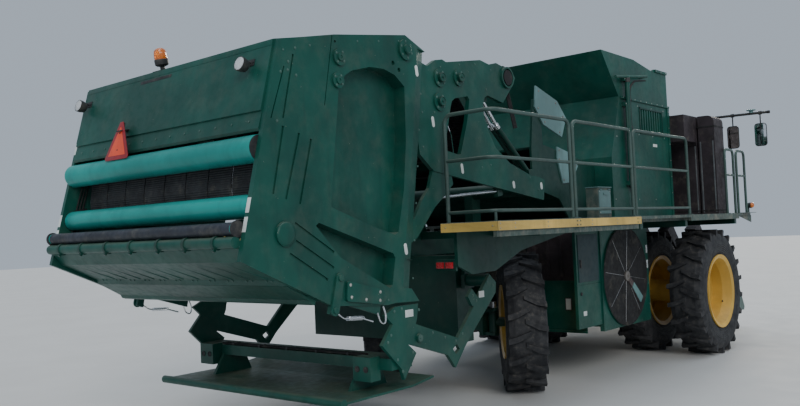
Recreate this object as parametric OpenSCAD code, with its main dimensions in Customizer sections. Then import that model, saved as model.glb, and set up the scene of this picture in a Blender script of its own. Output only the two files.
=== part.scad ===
// Round-module cotton harvester, parked in its transport position.
// The machine drives towards -Y, its left side is +X, and the ground is z = 0.
// Sizes are in millimetres. Places along the machine are given from the front axle, rearwards.

/* [Front wheels] */
// Outer diameter of a front tyre, flattened to its loaded height
front_tyre_d = 1900; // [1700:10:1960]
// Width of a front tyre
front_tyre_w = 520; // [420:10:540]
// Diameter over the flanges of a front rim
front_rim_d = 1120; // [900:10:1150]
// Distance of the inner dual's middle from the machine's middle
dual_inner_x = 1000; // [960:5:1040]
// Distance of the outer dual's middle from the machine's middle
dual_outer_x = 1930; // [1860:5:1980]
// Height of a tread lug
lug_h = 45; // [25:5:60]
// Number of lugs on each half of a front tyre
front_lugs_n = 21; // [16:1:24]
// Number of lugs on each half of a rear tyre
rear_lugs_n = 19; // [14:1:22]

/* [Rear wheels] */
// Outer diameter of a rear tyre, flattened to its loaded height
rear_tyre_d = 1740; // [1500:10:1760]
// Width of a rear tyre
rear_tyre_w = 500; // [380:10:520]
// Diameter over the flanges of a rear rim
rear_rim_d = 930; // [760:10:960]
// Distance from the front axle to the rear axle
wheelbase = 4100; // [4050:10:4200]
// Distance of the kingpins from the machine's middle
kingpin_x = 700; // [680:5:760]
// Distance from a kingpin to the middle of its tyre
kingpin_offset = 345; // [335:5:380]
// Angle at which the rear wheels stand, as parked
steer_angle = 38; // [-40:1:40]

/* [Chassis] */
// Height of the top of the rear frame
frame_top_z = 2060; // [2040:10:2080]
// Half width over the frame's rails
frame_half_w = 520; // [480:10:540]
// Section of a frame rail, across
rail_w = 120; // [80:10:160]

/* [Platform] */
// Height of the walking surface
deck_z = 2140; // [2120:5:2180]
// Distance of the platform's outer edge from the machine's middle
deck_half_w = 2200; // [2150:10:2300]
// Place of the platform's rear edge
deck_rear_y = 6160; // [5900:10:6250]
// Thickness of the platform's plate
deck_t = 40; // [20:5:50]
// Height of the yellow edge stripe
stripe_h = 100; // [80:5:120]
// Height of the top handrail above the platform
rail_h = 1110; // [900:10:1200]
// Diameter of the handrail's tube
rail_d = 42; // [30:2:50]

/* [Module chamber] */
// Half width over the gate's side walls
gate_half_w = 1540; // [1500:5:1600]
// Tilt of the raised chamber, nose up
chamber_tilt = 9.9; // [9:0.1:10.5]
// Place of the chamber's reference corner, at the gate's top front
chamber_y = 6280; // [6250:5:6320]
// Height of that corner
chamber_z = 3900; // [3880:5:3940]
// Thickness of a chamber wall
chamber_wall = 50; // [30:5:60]
// Gap between the gate's wall and the fixed wall inside it
chamber_gap = 20; // [10:2:30]
// Diameter of the two upper rear rollers
roller_d = 230; // [180:5:250]

/* [Accumulator] */
// Half width over the accumulator's walls
acc_half_w = 1500; // [1440:10:1520]
// Place of its front wall
acc_front_y = 40; // [0:5:80]
// Place of its rear wall at the top
acc_rear_y = 2300; // [2200:10:2400]
// Height of its top edge
acc_top_z = 4500; // [4300:10:4600]
// Thickness of its walls
acc_wall = 40; // [20:5:60]

/* [Cab] */
// Half width over the cab's sides
cab_half_w = 850; // [800:10:880]
// Place of the cab's rear wall
cab_rear_y = -330; // [-350:5:-300]
// Place of the cab's front face
cab_front_y = -2080; // [-2200:10:-1950]
// Height of the cab's roof
cab_top_z = 3960; // [3850:10:4000]
// Thickness of the cab's pillars and panels
cab_wall = 60; // [40:5:70]

/* [Header] */
// Number of row units
row_units_n = 6; // [2:2:6]
// Distance between row units, closed up for the road
row_pitch = 485; // [475:5:540]
// Width of one row unit's cabinet
row_unit_w = 430; // [400:5:460]
// Place of the tips of the row dividers
header_front_y = -3200; // [-3300:10:-3100]
// Clearance under the raised header
header_clear_z = 330; // [200:10:400]

/* [Module handler] */
// Height of the handler's pivot
handler_pivot_z = 1500; // [1480:5:1520]
// Place of the handler's pivot
handler_pivot_y = 5330; // [5300:5:5360]
// Half width over the handler's side plates
handler_half_w = 1520; // [1480:5:1540]

/* [Rotary screen] */
// Diameter of the rotary air screen
screen_d = 1340; // [1200:10:1380]
// Place of its middle
screen_y = 1930; // [1900:5:1950]
// Height of its middle
screen_z = 1310; // [1290:5:1330]

/* [Hidden] */
$fn = 48;

front_axle_z = front_tyre_d / 2;
rear_axle_z = rear_tyre_d / 2;
machine_rear_y = 8950;
mid_y = (machine_rear_y + header_front_y) / 2;

paint = [0.02, 0.27, 0.24];
paint_dark = [0.02, 0.18, 0.16];
teal = [0.0, 0.62, 0.64];
rim_yellow = [0.92, 0.68, 0.13];
tyre_black = [0.06, 0.06, 0.07];
rubber_black = [0.05, 0.05, 0.06];
rail_green = [0.33, 0.42, 0.38];
guard_grey = [0.55, 0.63, 0.62];
rust = [0.32, 0.18, 0.12];
steel = [0.6, 0.62, 0.63];

// Running gap between pieces that seat on each other
fit_gap = 0.3;
// Depth of a rim's bead seat below its flange
bead_seat = 38;

// Helpers

module place() {
    translate([0, -mid_y, 0]) children();
}

module both_sides() {
    children();
    mirror([1, 0, 0]) children();
}

// A block between two opposite corners
module block(lo, hi) {
    translate(lo) cube(hi - lo);
}

// A sheet that stands along the machine: points are [y, z], from x on, t thick
module side_sheet(x, t, points) {
    translate([x, 0, 0]) rotate([90, 0, 90]) linear_extrude(t) polygon(points);
}

// A round bar between two points
module bar(p, q, d) {
    v = q - p;
    translate(p) rotate([0, acos(v.z / norm(v)), atan2(v.y, v.x)])
        cylinder(h = norm(v), d = d, $fn = 24);
}

// A round bar along a list of points, bent to radius r at each right-angled corner
module bent_bar(points, d, r) {
    last = len(points) - 1;
    for (i = [0:last - 1]) {
        along = unit(points[i + 1] - points[i]);
        bar(points[i] + (i > 0 ? r : 0) * along, points[i + 1] - (i + 1 < last ? r : 0) * along, d);
    }
    for (i = [1:last - 1]) {
        a = unit(points[i - 1] - points[i]);
        b = unit(points[i + 1] - points[i]);
        c = points[i] + r * (a + b);
        n = cross(b, a);
        multmatrix([[-b.x, -a.x, n.x, c.x], [-b.y, -a.y, n.y, c.y], [-b.z, -a.z, n.z, c.z], [0, 0, 0, 1]])
            rotate_extrude(angle = 90) translate([r, 0]) circle(d = d, $fn = 24);
    }
}

function unit(v) = v / norm(v);

// A roller or tube across the machine
module cross_tube(half_w, y, z, d) {
    translate([-half_w, y, z]) rotate([0, 90, 0]) cylinder(h = 2 * half_w, d = d);
}

// The chamber's own straight frame, tilted nose up: children use [x, rearwards, up]
module chamber_frame() {
    translate([0, chamber_y, chamber_z]) rotate([-chamber_tilt, 0, 0]) children();
}

// Wheels

// Half of a tyre's section: [radius, distance from its middle]
function tyre_half(d, w, rim_d) = [
    [rim_d / 2 - bead_seat + fit_gap, 0.395 * w], [rim_d / 2 + 2, 0.42 * w], [rim_d / 2 + 40, 0.46 * w],
    [d / 2 - 230, 0.50 * w], [d / 2 - lug_h - 100, 0.49 * w], [d / 2 - lug_h - 30, 0.44 * w],
    [d / 2 - lug_h, 0.30 * w], [d / 2 - lug_h + 12, 0]
];

// The same section on both sides, as one outline; a point in the middle isn't repeated
function mirrored(half) = concat(
    half, [for (i = [len(half) - 1:-1:0]) if (half[i][1] > 0) [half[i][0], -half[i][1]]]);

module tyre(d, w, rim_d, lugs_n) {
    rotate([0, 90, 0]) rotate_extrude($fn = 72) polygon(mirrored(tyre_half(d, w, rim_d)));
    for (i = [0:lugs_n - 1]) {
        rotate([360 / lugs_n * i, 0, 0]) lug(d, w);
        rotate([360 / lugs_n * (i + 0.5), 0, 0]) mirror([1, 0, 0]) lug(d, w);
    }
}

// One tread lug at the tyre's top: it slants back from the middle to the shoulder
module lug(d, w) {
    depth = lug_h + 70;
    translate([0, 0, d / 2 - depth]) linear_extrude(depth) polygon([
        [-0.06 * w, -45], [-0.06 * w, 5], [0.24 * w, 85], [0.47 * w, 110], [0.47 * w, 45], [0.27 * w, 20]
    ]);
}

// A rim with a dished disc; the disc sits at disc_x from the tyre's middle
module rim(rim_d, w, disc_x, hub_r) {
    seat_r = rim_d / 2 - bead_seat;
    well_r = seat_r - 45;
    rotate([0, 90, 0]) rotate_extrude($fn = 72) {
        polygon(mirrored([
            [well_r - 20, 0.18 * w], [seat_r - 22, 0.44 * w], [rim_d / 2, 0.45 * w + 14],
            [rim_d / 2, 0.43 * w], [seat_r, 0.40 * w], [seat_r, 0.26 * w], [well_r, 0.2 * w]
        ]));
        polygon([
            [0, disc_x - 10], [hub_r, disc_x - 10], [hub_r + 60, disc_x + 50],
            [well_r - 10, disc_x + 20], [well_r - 10, disc_x + 45], [hub_r + 50, disc_x + 75],
            [hub_r - 10, disc_x + 15], [0, disc_x + 15]
        ]);
    }
}

module front_tyres() {
    for (x = [dual_inner_x, dual_outer_x])
        translate([x, 0, front_axle_z]) tyre(front_tyre_d, front_tyre_w, front_rim_d, front_lugs_n);
}

module front_rims() {
    hub_r = 210;
    for (x = [dual_inner_x, dual_outer_x])
        translate([x, 0, front_axle_z]) rim(front_rim_d, front_tyre_w, -110, hub_r);
    translate([final_drive_x + fit_gap, 0, front_axle_z]) rotate([0, 90, 0])
        cylinder(h = dual_outer_x - final_drive_x - 40, r = hub_r - 40);
}

final_drive_x = 640;

module front_tyres_left() { color(tyre_black) place() front_tyres(); }
module front_tyres_right() { color(tyre_black) place() mirror([1, 0, 0]) front_tyres(); }
module front_rims_left() { color(rim_yellow) place() front_rims(); }
module front_rims_right() { color(rim_yellow) place() mirror([1, 0, 0]) front_rims(); }

// Rear wheels stand turned about their kingpins; side is 1 for left and -1 for right
module turned(side) {
    translate([side * kingpin_x, wheelbase, rear_axle_z]) rotate([0, 0, steer_angle]) children();
}

module rear_tyre(side) {
    turned(side) translate([side * kingpin_offset, 0, 0])
        tyre(rear_tyre_d, rear_tyre_w, rear_rim_d, rear_lugs_n);
}

module rear_rim(side) {
    turned(side) translate([side * kingpin_offset, 0, 0]) {
        rotate([0, 0, side < 0 ? 180 : 0]) rim(rear_rim_d, rear_tyre_w, 20, 150);
        rotate([0, side * 90, 0]) translate([0, 0, 10]) cylinder(h = 90, r = 110);
    }
}

module rear_tyre_left() { color(tyre_black) place() rear_tyre(1); }
module rear_tyre_right() { color(tyre_black) place() rear_tyre(-1); }
module rear_rim_left() { color(rim_yellow) place() rear_rim(1); }
module rear_rim_right() { color(rim_yellow) place() rear_rim(-1); }

// Knuckle with its kingpin, stub axle and steering arm
knuckle_h = 240;
kingpin_d = 70;
arm_len = 230;
arm_t = 30;
arm_z = knuckle_h / 2 + 12;

module knuckle(side) {
    turned(side) {
        translate([0, 0, -knuckle_h / 2]) cylinder(h = knuckle_h, d = 130);
        translate([0, 0, -knuckle_h / 2 - 50]) cylinder(h = knuckle_h + 100 + arm_t, d = kingpin_d);
        rotate([0, side * 90, 0]) cylinder(h = kingpin_offset + 10 - fit_gap, d = 120);
        translate([0, 0, knuckle_h / 2 + 50])
            linear_extrude(arm_t) hull_arm(arm_len, 120, 80);
    }
}

// Outline of a tapered arm towards +Y with round ends, drawn by two circles and their flanks
module hull_arm(length, d1, d2) {
    circle(d = d1);
    translate([0, length]) circle(d = d2);
    polygon([[-d1 / 2, 0], [d1 / 2, 0], [d2 / 2, length], [-d2 / 2, length]]);
}

module knuckle_left() { color(paint_dark) place() knuckle(1); }
module knuckle_right() { color(paint_dark) place() knuckle(-1); }

// Rear axle beam, its forks round the knuckles and the post that carries it
beam_w = 180;
fork_t = 40;
post_half_w = 150;

module rear_axle() {
    color(paint_dark) place() {
        difference() {
            union() {
                translate([0, wheelbase, rear_axle_z]) {
                    block([-kingpin_x + 110, -beam_w / 2, -100], [kingpin_x - 110, beam_w / 2, 100]);
                    both_sides() {
                        block([kingpin_x - 170, -beam_w / 2, -knuckle_h / 2 - 5 - fork_t],
                              [kingpin_x - 110, beam_w / 2, knuckle_h / 2 + 5 + fork_t]);
                        for (z = [-knuckle_h / 2 - 5 - fork_t, knuckle_h / 2 + 5])
                            translate([0, 0, z]) {
                                block([kingpin_x - 120, -60, 0], [kingpin_x, 60, fork_t]);
                                translate([kingpin_x, 0, 0]) cylinder(h = fork_t, d = 120);
                            }
                    }
                }
                block([-post_half_w, wheelbase - 200, rear_axle_z + 90],
                      [post_half_w, wheelbase + 200, frame_top_z - 230 - fit_gap]);
                translate([0, wheelbase + rod_y, rod_z]) rotate([0, 90, 0])
                    translate([0, 0, -190]) cylinder(h = 380, d = 110);
                block([-60, wheelbase + beam_w / 2 - 10, rod_z - 60],
                      [60, wheelbase + rod_y, rod_z + 60]);
            }
            both_sides() translate([kingpin_x, wheelbase, rear_axle_z - 250])
                cylinder(h = 500, d = kingpin_d + 2 * fit_gap);
            translate([-200, wheelbase + rod_y, rod_z]) rotate([0, 90, 0])
                cylinder(h = 400, d = rod_d + 2 * fit_gap);
        }
    }
}

// Steering cylinder's through rod; it slides sideways and its eyes sit over the arms' ends
rod_d = 45;
rod_y = 205;
rod_z = rear_axle_z + knuckle_h / 2 + 50 + arm_t + 45;

module steering_rod() {
    eye = [for (s = [-1, 1]) s * kingpin_x - arm_len * sin(steer_angle)];
    color(steel) place() translate([0, wheelbase, 0]) {
        translate([eye[0], rod_y, rod_z]) rotate([0, 90, 0]) cylinder(h = eye[1] - eye[0], d = rod_d);
        for (x = eye) translate([x, rod_y, rod_z - 35]) cylinder(h = 70, d = 80);
    }
}

// Chassis

axle_tube_d = 260;
frame_low_z = front_axle_z + axle_tube_d / 2 + fit_gap;
low_rail_h = 240;
high_rail_h = 280;
step_y = 2640;
frame_front_y = -880;
frame_rear_y = 5480;
post_y = 1130;
tank_front_y = 5180;
tank_low_z = 800;
outrigger_w = 80;
outrigger_h = 90;
// Outriggers: one across the front of the frame, the others on the outside of the rails
outrigger_y = [frame_front_y - outrigger_w - fit_gap, post_y + 20, step_y + 40, 5200];
rail_in = frame_half_w - rail_w;
lug_t = 30;
lug_bore_d = 40;
lug_reach = 60;
front_lug_x = 200;
front_lug_z = frame_low_z + 110;
rear_lug_z = frame_top_z - high_rail_h / 2;

// A lashing lug that stands off a member's end at y, with its hole upright; dir is 1 to the rear
module lashing_lug(x, y, z, dir) {
    translate([x, y, z]) rotate([0, 0, dir < 0 ? 180 : 0]) linear_extrude(lug_t) difference() {
        union() {
            translate([-60, fit_gap]) square([120, lug_reach - fit_gap]);
            translate([0, lug_reach]) circle(d = 120);
        }
        translate([0, lug_reach]) circle(d = lug_bore_d);
    }
}

module chassis_frame() {
    low_top_z = frame_low_z + low_rail_h;
    g = fit_gap;
    color(paint_dark) place() {
        both_sides() {
            // Low rail, step up over the engine, and high rail
            block([rail_in, frame_front_y, frame_low_z], [frame_half_w, step_y + rail_w, low_top_z]);
            block([rail_in, step_y, low_top_z + g], [frame_half_w, step_y + rail_w, frame_top_z]);
            block([rail_in, step_y + rail_w + g, frame_top_z - high_rail_h],
                  [frame_half_w, frame_rear_y, frame_top_z]);
            for (y = [frame_front_y, post_y])
                block([rail_in, y, low_top_z + g], [frame_half_w, y + rail_w, frame_top_z]);
            for (i = [1:3])
                block([frame_half_w + g, outrigger_y[i], frame_top_z - outrigger_h],
                      [deck_half_w - 60, outrigger_y[i] + outrigger_w, frame_top_z]);
            lashing_lug(rail_in + rail_w / 2, frame_rear_y, rear_lug_z, 1);
            lashing_lug(front_lug_x, frame_front_y, front_lug_z, -1);
            // Lug that carries the header's pivot
            difference() {
                block([rail_in + 40, header_pivot_y - 90, header_pivot_z - 90],
                      [rail_in + 80, frame_front_y - g, header_pivot_z + 90]);
                translate([rail_in, header_pivot_y, header_pivot_z]) rotate([0, 90, 0])
                    cylinder(h = 200, d = header_pin_d + 2 * g);
            }
        }
        block([-deck_half_w + 60, outrigger_y[0], frame_top_z - outrigger_h],
              [deck_half_w - 60, outrigger_y[0] + outrigger_w, frame_top_z]);
        // Tank that closes the frame's rear end below
        block([-hanger_x + 30, tank_front_y, tank_low_z],
              [hanger_x - 30, frame_rear_y - 10, frame_top_z - high_rail_h - g]);
        for (y = [frame_front_y, post_y, step_y])
            block([-rail_in + g, y, frame_low_z + 30], [rail_in - g, y + rail_w, frame_low_z + 220]);
        for (y = [step_y + 20, wheelbase - 200, wheelbase + 80, frame_rear_y - rail_w])
            block([-rail_in + g, y, frame_top_z - 230], [rail_in - g, y + rail_w, frame_top_z - 20]);
    }
}

module front_axle() {
    color(paint_dark) place() {
        cross_tube(frame_half_w + 5, 0, front_axle_z, axle_tube_d);
        both_sides() {
            translate([frame_half_w + fit_gap, 0, front_axle_z]) rotate([0, 90, 0])
                cylinder(h = final_drive_x - frame_half_w - fit_gap, d = 520);
            // Saddle under the rail
            block([rail_in + 10, -160, front_axle_z], [frame_half_w - 10, 160, frame_low_z - fit_gap]);
        }
    }
}

module engine_block() {
    color(steel) place()
        block([-rail_in + 20, 1340, frame_low_z + 220 + fit_gap],
              [rail_in - 20, step_y + 15, frame_top_z - 20]);
}

// Engine housing: side panels under the platform, with the screen's frame on the right
housing_x = 1500;
housing_front_y = 1120;
housing_mid_y = 2640;
housing_rear_y = 3300;
housing_low_z = 650;
housing_top_z = frame_top_z - outrigger_h - fit_gap;

louvres_n = 8;

module housing_side() {
    // Side panel behind the screen's frame, front wall and floor
    difference() {
        block([housing_x - 60, housing_mid_y + fit_gap, housing_low_z + 60],
              [housing_x - 20, housing_rear_y, housing_top_z]);
        block([housing_x - 28, housing_mid_y + 40, 1270], [housing_x, housing_rear_y + 1, 1282]);
    }
    block([frame_half_w + fit_gap, housing_front_y, housing_low_z + 60 + fit_gap],
          [housing_x - 60 - fit_gap, housing_front_y + 40, housing_top_z]);
    block([frame_half_w + fit_gap, housing_front_y, housing_low_z + 20],
          [housing_x - 60 - fit_gap, housing_mid_y, housing_low_z + 60]);
    // Hanger strip that carries the floor on the rail
    block([frame_half_w + fit_gap, housing_mid_y - 60, housing_low_z + 60 + fit_gap],
          [frame_half_w + 10, housing_mid_y, frame_low_z + 150]);
}

// Frame round the screen, a bracket bar behind the opening and louvres beside it
module screen_frame() {
    difference() {
        union() {
            block([housing_x - 60, housing_front_y, housing_low_z - 40],
                  [housing_x, housing_mid_y, housing_top_z]);
            // Rim round the opening
            translate([housing_x - 5, screen_y, screen_z]) rotate([0, 90, 0])
                cylinder(h = 25, d = screen_d + 60, $fn = 96);
        }
        translate([housing_x - 100, screen_y, screen_z]) rotate([0, 90, 0])
            cylinder(h = 200, d = screen_d + 12, $fn = 96);
    }
    block([housing_x - 100, housing_front_y, screen_z - 60],
          [housing_x - 59, housing_mid_y, screen_z + 60]);
}

module engine_housing_right() {
    color(paint_dark) place() mirror([1, 0, 0]) {
        housing_side();
        screen_frame();
    }
}

module engine_housing_left() {
    color(paint_dark) place() {
        housing_side();
        difference() {
            block([housing_x - 60, housing_front_y, housing_low_z - 40],
                  [housing_x, housing_mid_y, housing_top_z]);
            for (i = [0:louvres_n - 1])
                block([housing_x - 25, housing_front_y + 200, housing_low_z + 250 + i * 90],
                      [housing_x + 5, housing_mid_y - 200, housing_low_z + 290 + i * 90]);
        }
    }
}

// Round screen: a disc with eight thin spokes, a hub and a vacuum arm that turns with it
spokes_n = 8;

module rotary_screen() {
    color([0.16, 0.12, 0.13]) place() translate([-housing_x - 10, screen_y, screen_z])
        rotate([0, 90, 0]) rotate([0, 0, 90]) {
            translate([0, 0, 8]) cylinder(h = 20, d = screen_d - 20, $fn = 96);
            difference() {
                translate([0, 0, -12]) cylinder(h = 44, d = screen_d, $fn = 96);
                translate([0, 0, -20]) cylinder(h = 60, d = screen_d - 60, $fn = 96);
            }
            translate([0, 0, -40]) cylinder(h = 30 + 20 + 59 - fit_gap, d = 90);
            for (i = [0:spokes_n - 1]) rotate([0, 0, 360 / spokes_n * i + 8])
                translate([0, -5, -6]) cube([screen_d / 2 - 15, 10, 20]);
            // Vacuum arm, wider at its outer end
            rotate([0, 0, 222]) translate([0, 0, -38]) linear_extrude(50)
                polygon([[20, -34], [520, -60], [545, -40], [545, 40], [520, 60], [20, 34]]);
        }
}

// Decks and platforms

module main_deck() {
    rear_y = 2950;
    color(paint_dark) place() {
        block([-acc_half_w, outrigger_y[0], deck_z - deck_t], [acc_half_w, rear_y, deck_z]);
        both_sides() for (x = [rail_in, 1100])
            block([x, outrigger_y[0], frame_top_z + fit_gap], [x + 80, rear_y, deck_z - deck_t + 5]);
    }
}

platform_front_y = -1900;
platform_in_x = acc_half_w + fit_gap;

stripe_front_y = 2850;
notch_front_y = 1150;
bend_y = -930;

module platform() {
    skirt_z = deck_z - stripe_h - 60;
    // Plate, tapering in to the nose at the front
    translate([0, 0, deck_z - deck_t]) linear_extrude(deck_t)
        polygon([
            [platform_in_x, deck_rear_y], [deck_half_w, deck_rear_y], [deck_half_w, bend_y],
            [deck_half_w - 120, platform_front_y], [deck_half_w - 400, platform_front_y],
            [platform_in_x, -1000]
        ]);
    // Edge stripe and the skirt below it
    block([deck_half_w - 40, stripe_front_y, deck_z - stripe_h], [deck_half_w, deck_rear_y, deck_z - 5]);
    block([deck_half_w - 60, stripe_front_y + 40, skirt_z],
          [deck_half_w - 20, deck_rear_y - 5, deck_z - stripe_h + 5]);
    block([platform_in_x, deck_rear_y - 40, deck_z - stripe_h], [deck_half_w, deck_rear_y, deck_z - 5]);
    block([deck_half_w - 40, bend_y, deck_z - 90], [deck_half_w, notch_front_y, deck_z - 5]);
    // Bearers that carry the plate on the chassis's outriggers
    for (x = [platform_in_x + 40, deck_half_w - 180])
        block([x, bend_y, frame_top_z + fit_gap], [x + 60, deck_rear_y - 35, deck_z - deck_t + 5]);
}

// Tool box that stands on the plate against the accumulator's side
module tool_box() {
    block([platform_in_x + 20, 2635, deck_z - 5], [platform_in_x + 190, 3010, deck_z + 400]);
}

module platform_left() { color(rail_green) place() platform(); }

module platform_right() {
    color(rail_green) place() mirror([1, 0, 0]) {
        platform();
        tool_box();
    }
}

// Ladder under the left platform, in front of the wheels
ladder_y = [-1480, -1100];
ladder_x = deck_half_w - 190;
ladder_low_z = 480;
ladder_pitch = 280;

module boarding_ladder() {
    top_z = deck_z - deck_t - fit_gap;
    color(rail_green) place() {
        for (y = ladder_y) block([ladder_x, y - 10, ladder_low_z], [ladder_x + 80, y + 10, top_z]);
        for (z = [ladder_low_z + 30:ladder_pitch:top_z - 100])
            block([ladder_x - 50, ladder_y[0], z], [ladder_x + 110, ladder_y[1], z + 30]);
    }
}

// One rail section: [first y, last y]; posts stand at both ends
rail_sections = [[4480, 2960], [2880, 1070]];
rear_section = [6100, 4560];
rail_bend_r = 90;
mid_rail = 0.57;
toe_rail_h = 100;

// One closed loop with a middle rail and a toe rail
module rail_section(y1, y2) {
    x = deck_half_w - 50;
    bent_bar([[x, y1, deck_z + fit_gap], [x, y1, deck_z + rail_h], [x, y2, deck_z + rail_h],
              [x, y2, deck_z + fit_gap]], rail_d, rail_bend_r);
    for (h = [mid_rail * rail_h, toe_rail_h]) bar([x, y1, deck_z + h], [x, y2, deck_z + h], rail_d - 6);
}

module handrails() {
    x = deck_half_w - 50;
    for (s = rail_sections) rail_section(s[0], s[1]);
    // Rear section: it turns across the platform's rear end to its inner post
    in_x = platform_in_x + 60;
    y1 = rear_section[0];
    y2 = rear_section[1];
    bent_bar([[in_x, y1, deck_z + fit_gap], [in_x, y1, deck_z + rail_h], [x, y1, deck_z + rail_h],
              [x, y2, deck_z + rail_h], [x, y2, deck_z + fit_gap]], rail_d, rail_bend_r);
    for (h = [mid_rail * rail_h, toe_rail_h])
        bent_bar([[in_x, y1, deck_z + h], [x, y1, deck_z + h], [x, y2, deck_z + h]], rail_d - 6, rail_bend_r);
    bar([x - 0.3 * rail_bend_r, y1 - 0.3 * rail_bend_r, deck_z + fit_gap],
        [x - 0.3 * rail_bend_r, y1 - 0.3 * rail_bend_r, deck_z + toe_rail_h], rail_d - 12);
    // Boarding loops at the front
    for (ly = [-1150, -1700])
        bent_bar([
            [x - 70, ly, deck_z + fit_gap], [x - 70, ly, deck_z + rail_h - 60],
            [x - 70, ly + 400, deck_z + rail_h - 60], [x - 70, ly + 400, deck_z + fit_gap]
        ], rail_d, rail_bend_r);
    for (ly = [-1150, -1700])
        bar([x - 70, ly, deck_z + mid_rail * rail_h], [x - 70, ly + 400, deck_z + mid_rail * rail_h],
            rail_d - 6);
    // Lamp on a stalk at the nose
    bar([x - 90, platform_front_y + 20, deck_z + fit_gap], [x - 90, platform_front_y + 20, deck_z + 110], 26);
    translate([x - 90, platform_front_y + 20, deck_z + 130]) sphere(d = 90, $fn = 24);
}

module handrails_left() { color(rail_green) place() handrails(); }
module handrails_right() { color(rail_green) place() mirror([1, 0, 0]) handrails(); }

// Accumulator

acc_low_z = deck_z + fit_gap;
// The lower rear edge, and the kink above it where the upper half leans out
acc_foot_y = acc_rear_y - 150;
acc_kink = [acc_rear_y - 490, acc_top_z - 610];
acc_bend_z = acc_top_z - 1500;
acc_side = [
    [acc_front_y, acc_low_z], [acc_foot_y, acc_low_z], [acc_foot_y, acc_bend_z], acc_kink,
    [acc_rear_y, acc_top_z], [1250, acc_top_z - 5], [600, acc_top_z - 100], [500, acc_top_z - 60],
    [acc_front_y, acc_top_z - 60]
];

// Wall with its seam where the upper half slides over the lower, a vent and the lift pipe
seam_z = acc_kink[1];
vent_y = [330, 1120];
vent_z = [acc_top_z - 1090, acc_top_z - 735];
slats_n = 9;
pipe_y = 1650;
pipe_x = acc_half_w + 60;

module accumulator_wall() {
    difference() {
        side_sheet(acc_half_w - acc_wall, acc_wall, acc_side);
        // Thinner upper half: its outside steps back above the seam
        side_sheet(acc_half_w - 8, 20, [
            [acc_front_y - 10, seam_z], [acc_rear_y + 10, seam_z], [acc_rear_y + 10, acc_top_z + 10],
            [acc_front_y - 10, acc_top_z + 10]
        ]);
        for (i = [0:slats_n - 1]) {
            pitch = (vent_y[1] - vent_y[0]) / slats_n;
            block([acc_half_w - 18, vent_y[0] + pitch * (i + 0.2), vent_z[0]],
                  [acc_half_w + 5, vent_y[0] + pitch * (i + 0.75), vent_z[1]]);
        }
    }
    // Gutter along the seam, edge posts and the folded top rim
    block([acc_half_w - 10, acc_front_y, seam_z - 30], [acc_half_w + 22, acc_kink[0] - 25, seam_z]);
    block([acc_half_w - 10, acc_front_y, acc_low_z], [acc_half_w + 15, acc_front_y + 70, seam_z - 20]);
    block([acc_half_w - 40, acc_front_y, acc_top_z - 100], [acc_half_w + 12, 480, acc_top_z - 60]);
    // Lift pipe with its cross-piece, on two brackets
    bar([pipe_x, pipe_y, deck_z + 420], [pipe_x, pipe_y, acc_top_z - 320], 70);
    bar([pipe_x, pipe_y + 60, deck_z + 490], [pipe_x, pipe_y + 60, seam_z - 120], 36);
    bar([pipe_x, 950, acc_top_z - 235], [pipe_x, 2020, acc_top_z - 360], 42);
    for (z = [deck_z + 500, seam_z - 100, acc_top_z - 345])
        block([acc_half_w - 10, pipe_y - 60, z - 40], [pipe_x, pipe_y + 80, z + 20]);
    block([acc_half_w - 20, 1020, acc_top_z - 270], [pipe_x, 1070, acc_top_z - 225]);
}

module accumulator_wall_left() { color(paint) place() accumulator_wall(); }
module accumulator_wall_right() { color(paint) place() mirror([1, 0, 0]) accumulator_wall(); }

acc_in = acc_half_w - acc_wall;

module accumulator_rear_wall() {
    back = 45;
    color(paint) place()
        side_sheet(-acc_in, 2 * acc_in, [
            [acc_foot_y, acc_low_z], [acc_foot_y, acc_bend_z], acc_kink, [acc_rear_y, acc_top_z],
            [acc_rear_y - 60, acc_top_z], acc_kink - [back + 5, -5], [acc_foot_y - back, acc_bend_z - 10],
            [acc_foot_y - back, acc_low_z]
        ]);
}

module accumulator_front_wall() {
    color(paint) place()
        block([-acc_in, acc_front_y, acc_low_z], [acc_in, acc_front_y + 40, acc_top_z - 65]);
}

// Mesh roof: a plate with rows of slots
roof_slots = [22, 12];

module accumulator_roof() {
    y1 = acc_front_y + 40 + fit_gap;
    y2 = acc_rear_y - 280;
    px = 2 * acc_in / roof_slots[0];
    py = (y2 - y1) / roof_slots[1];
    color(paint_dark) place() difference() {
        block([-acc_in, y1, acc_top_z - 180], [acc_in, y2, acc_top_z - 165]);
        for (i = [0:roof_slots[0] - 1]) for (j = [0:roof_slots[1] - 1])
            block([-acc_in + px * (i + 0.2), y1 + py * (j + 0.15), acc_top_z - 200],
                  [-acc_in + px * (i + 0.8), y1 + py * (j + 0.85), acc_top_z - 100]);
    }
}

// Suction ducts: [middle x, width] for each duct of one side
duct_table = [[deck_half_w - 1070, 200], [deck_half_w - 700, 480], [deck_half_w - 300, 260]];
duct_y1 = -900;
duct_y2 = -480;
duct_top_z = 3740;

duct_mouth_h = 420;
duct_round = 110;

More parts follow.
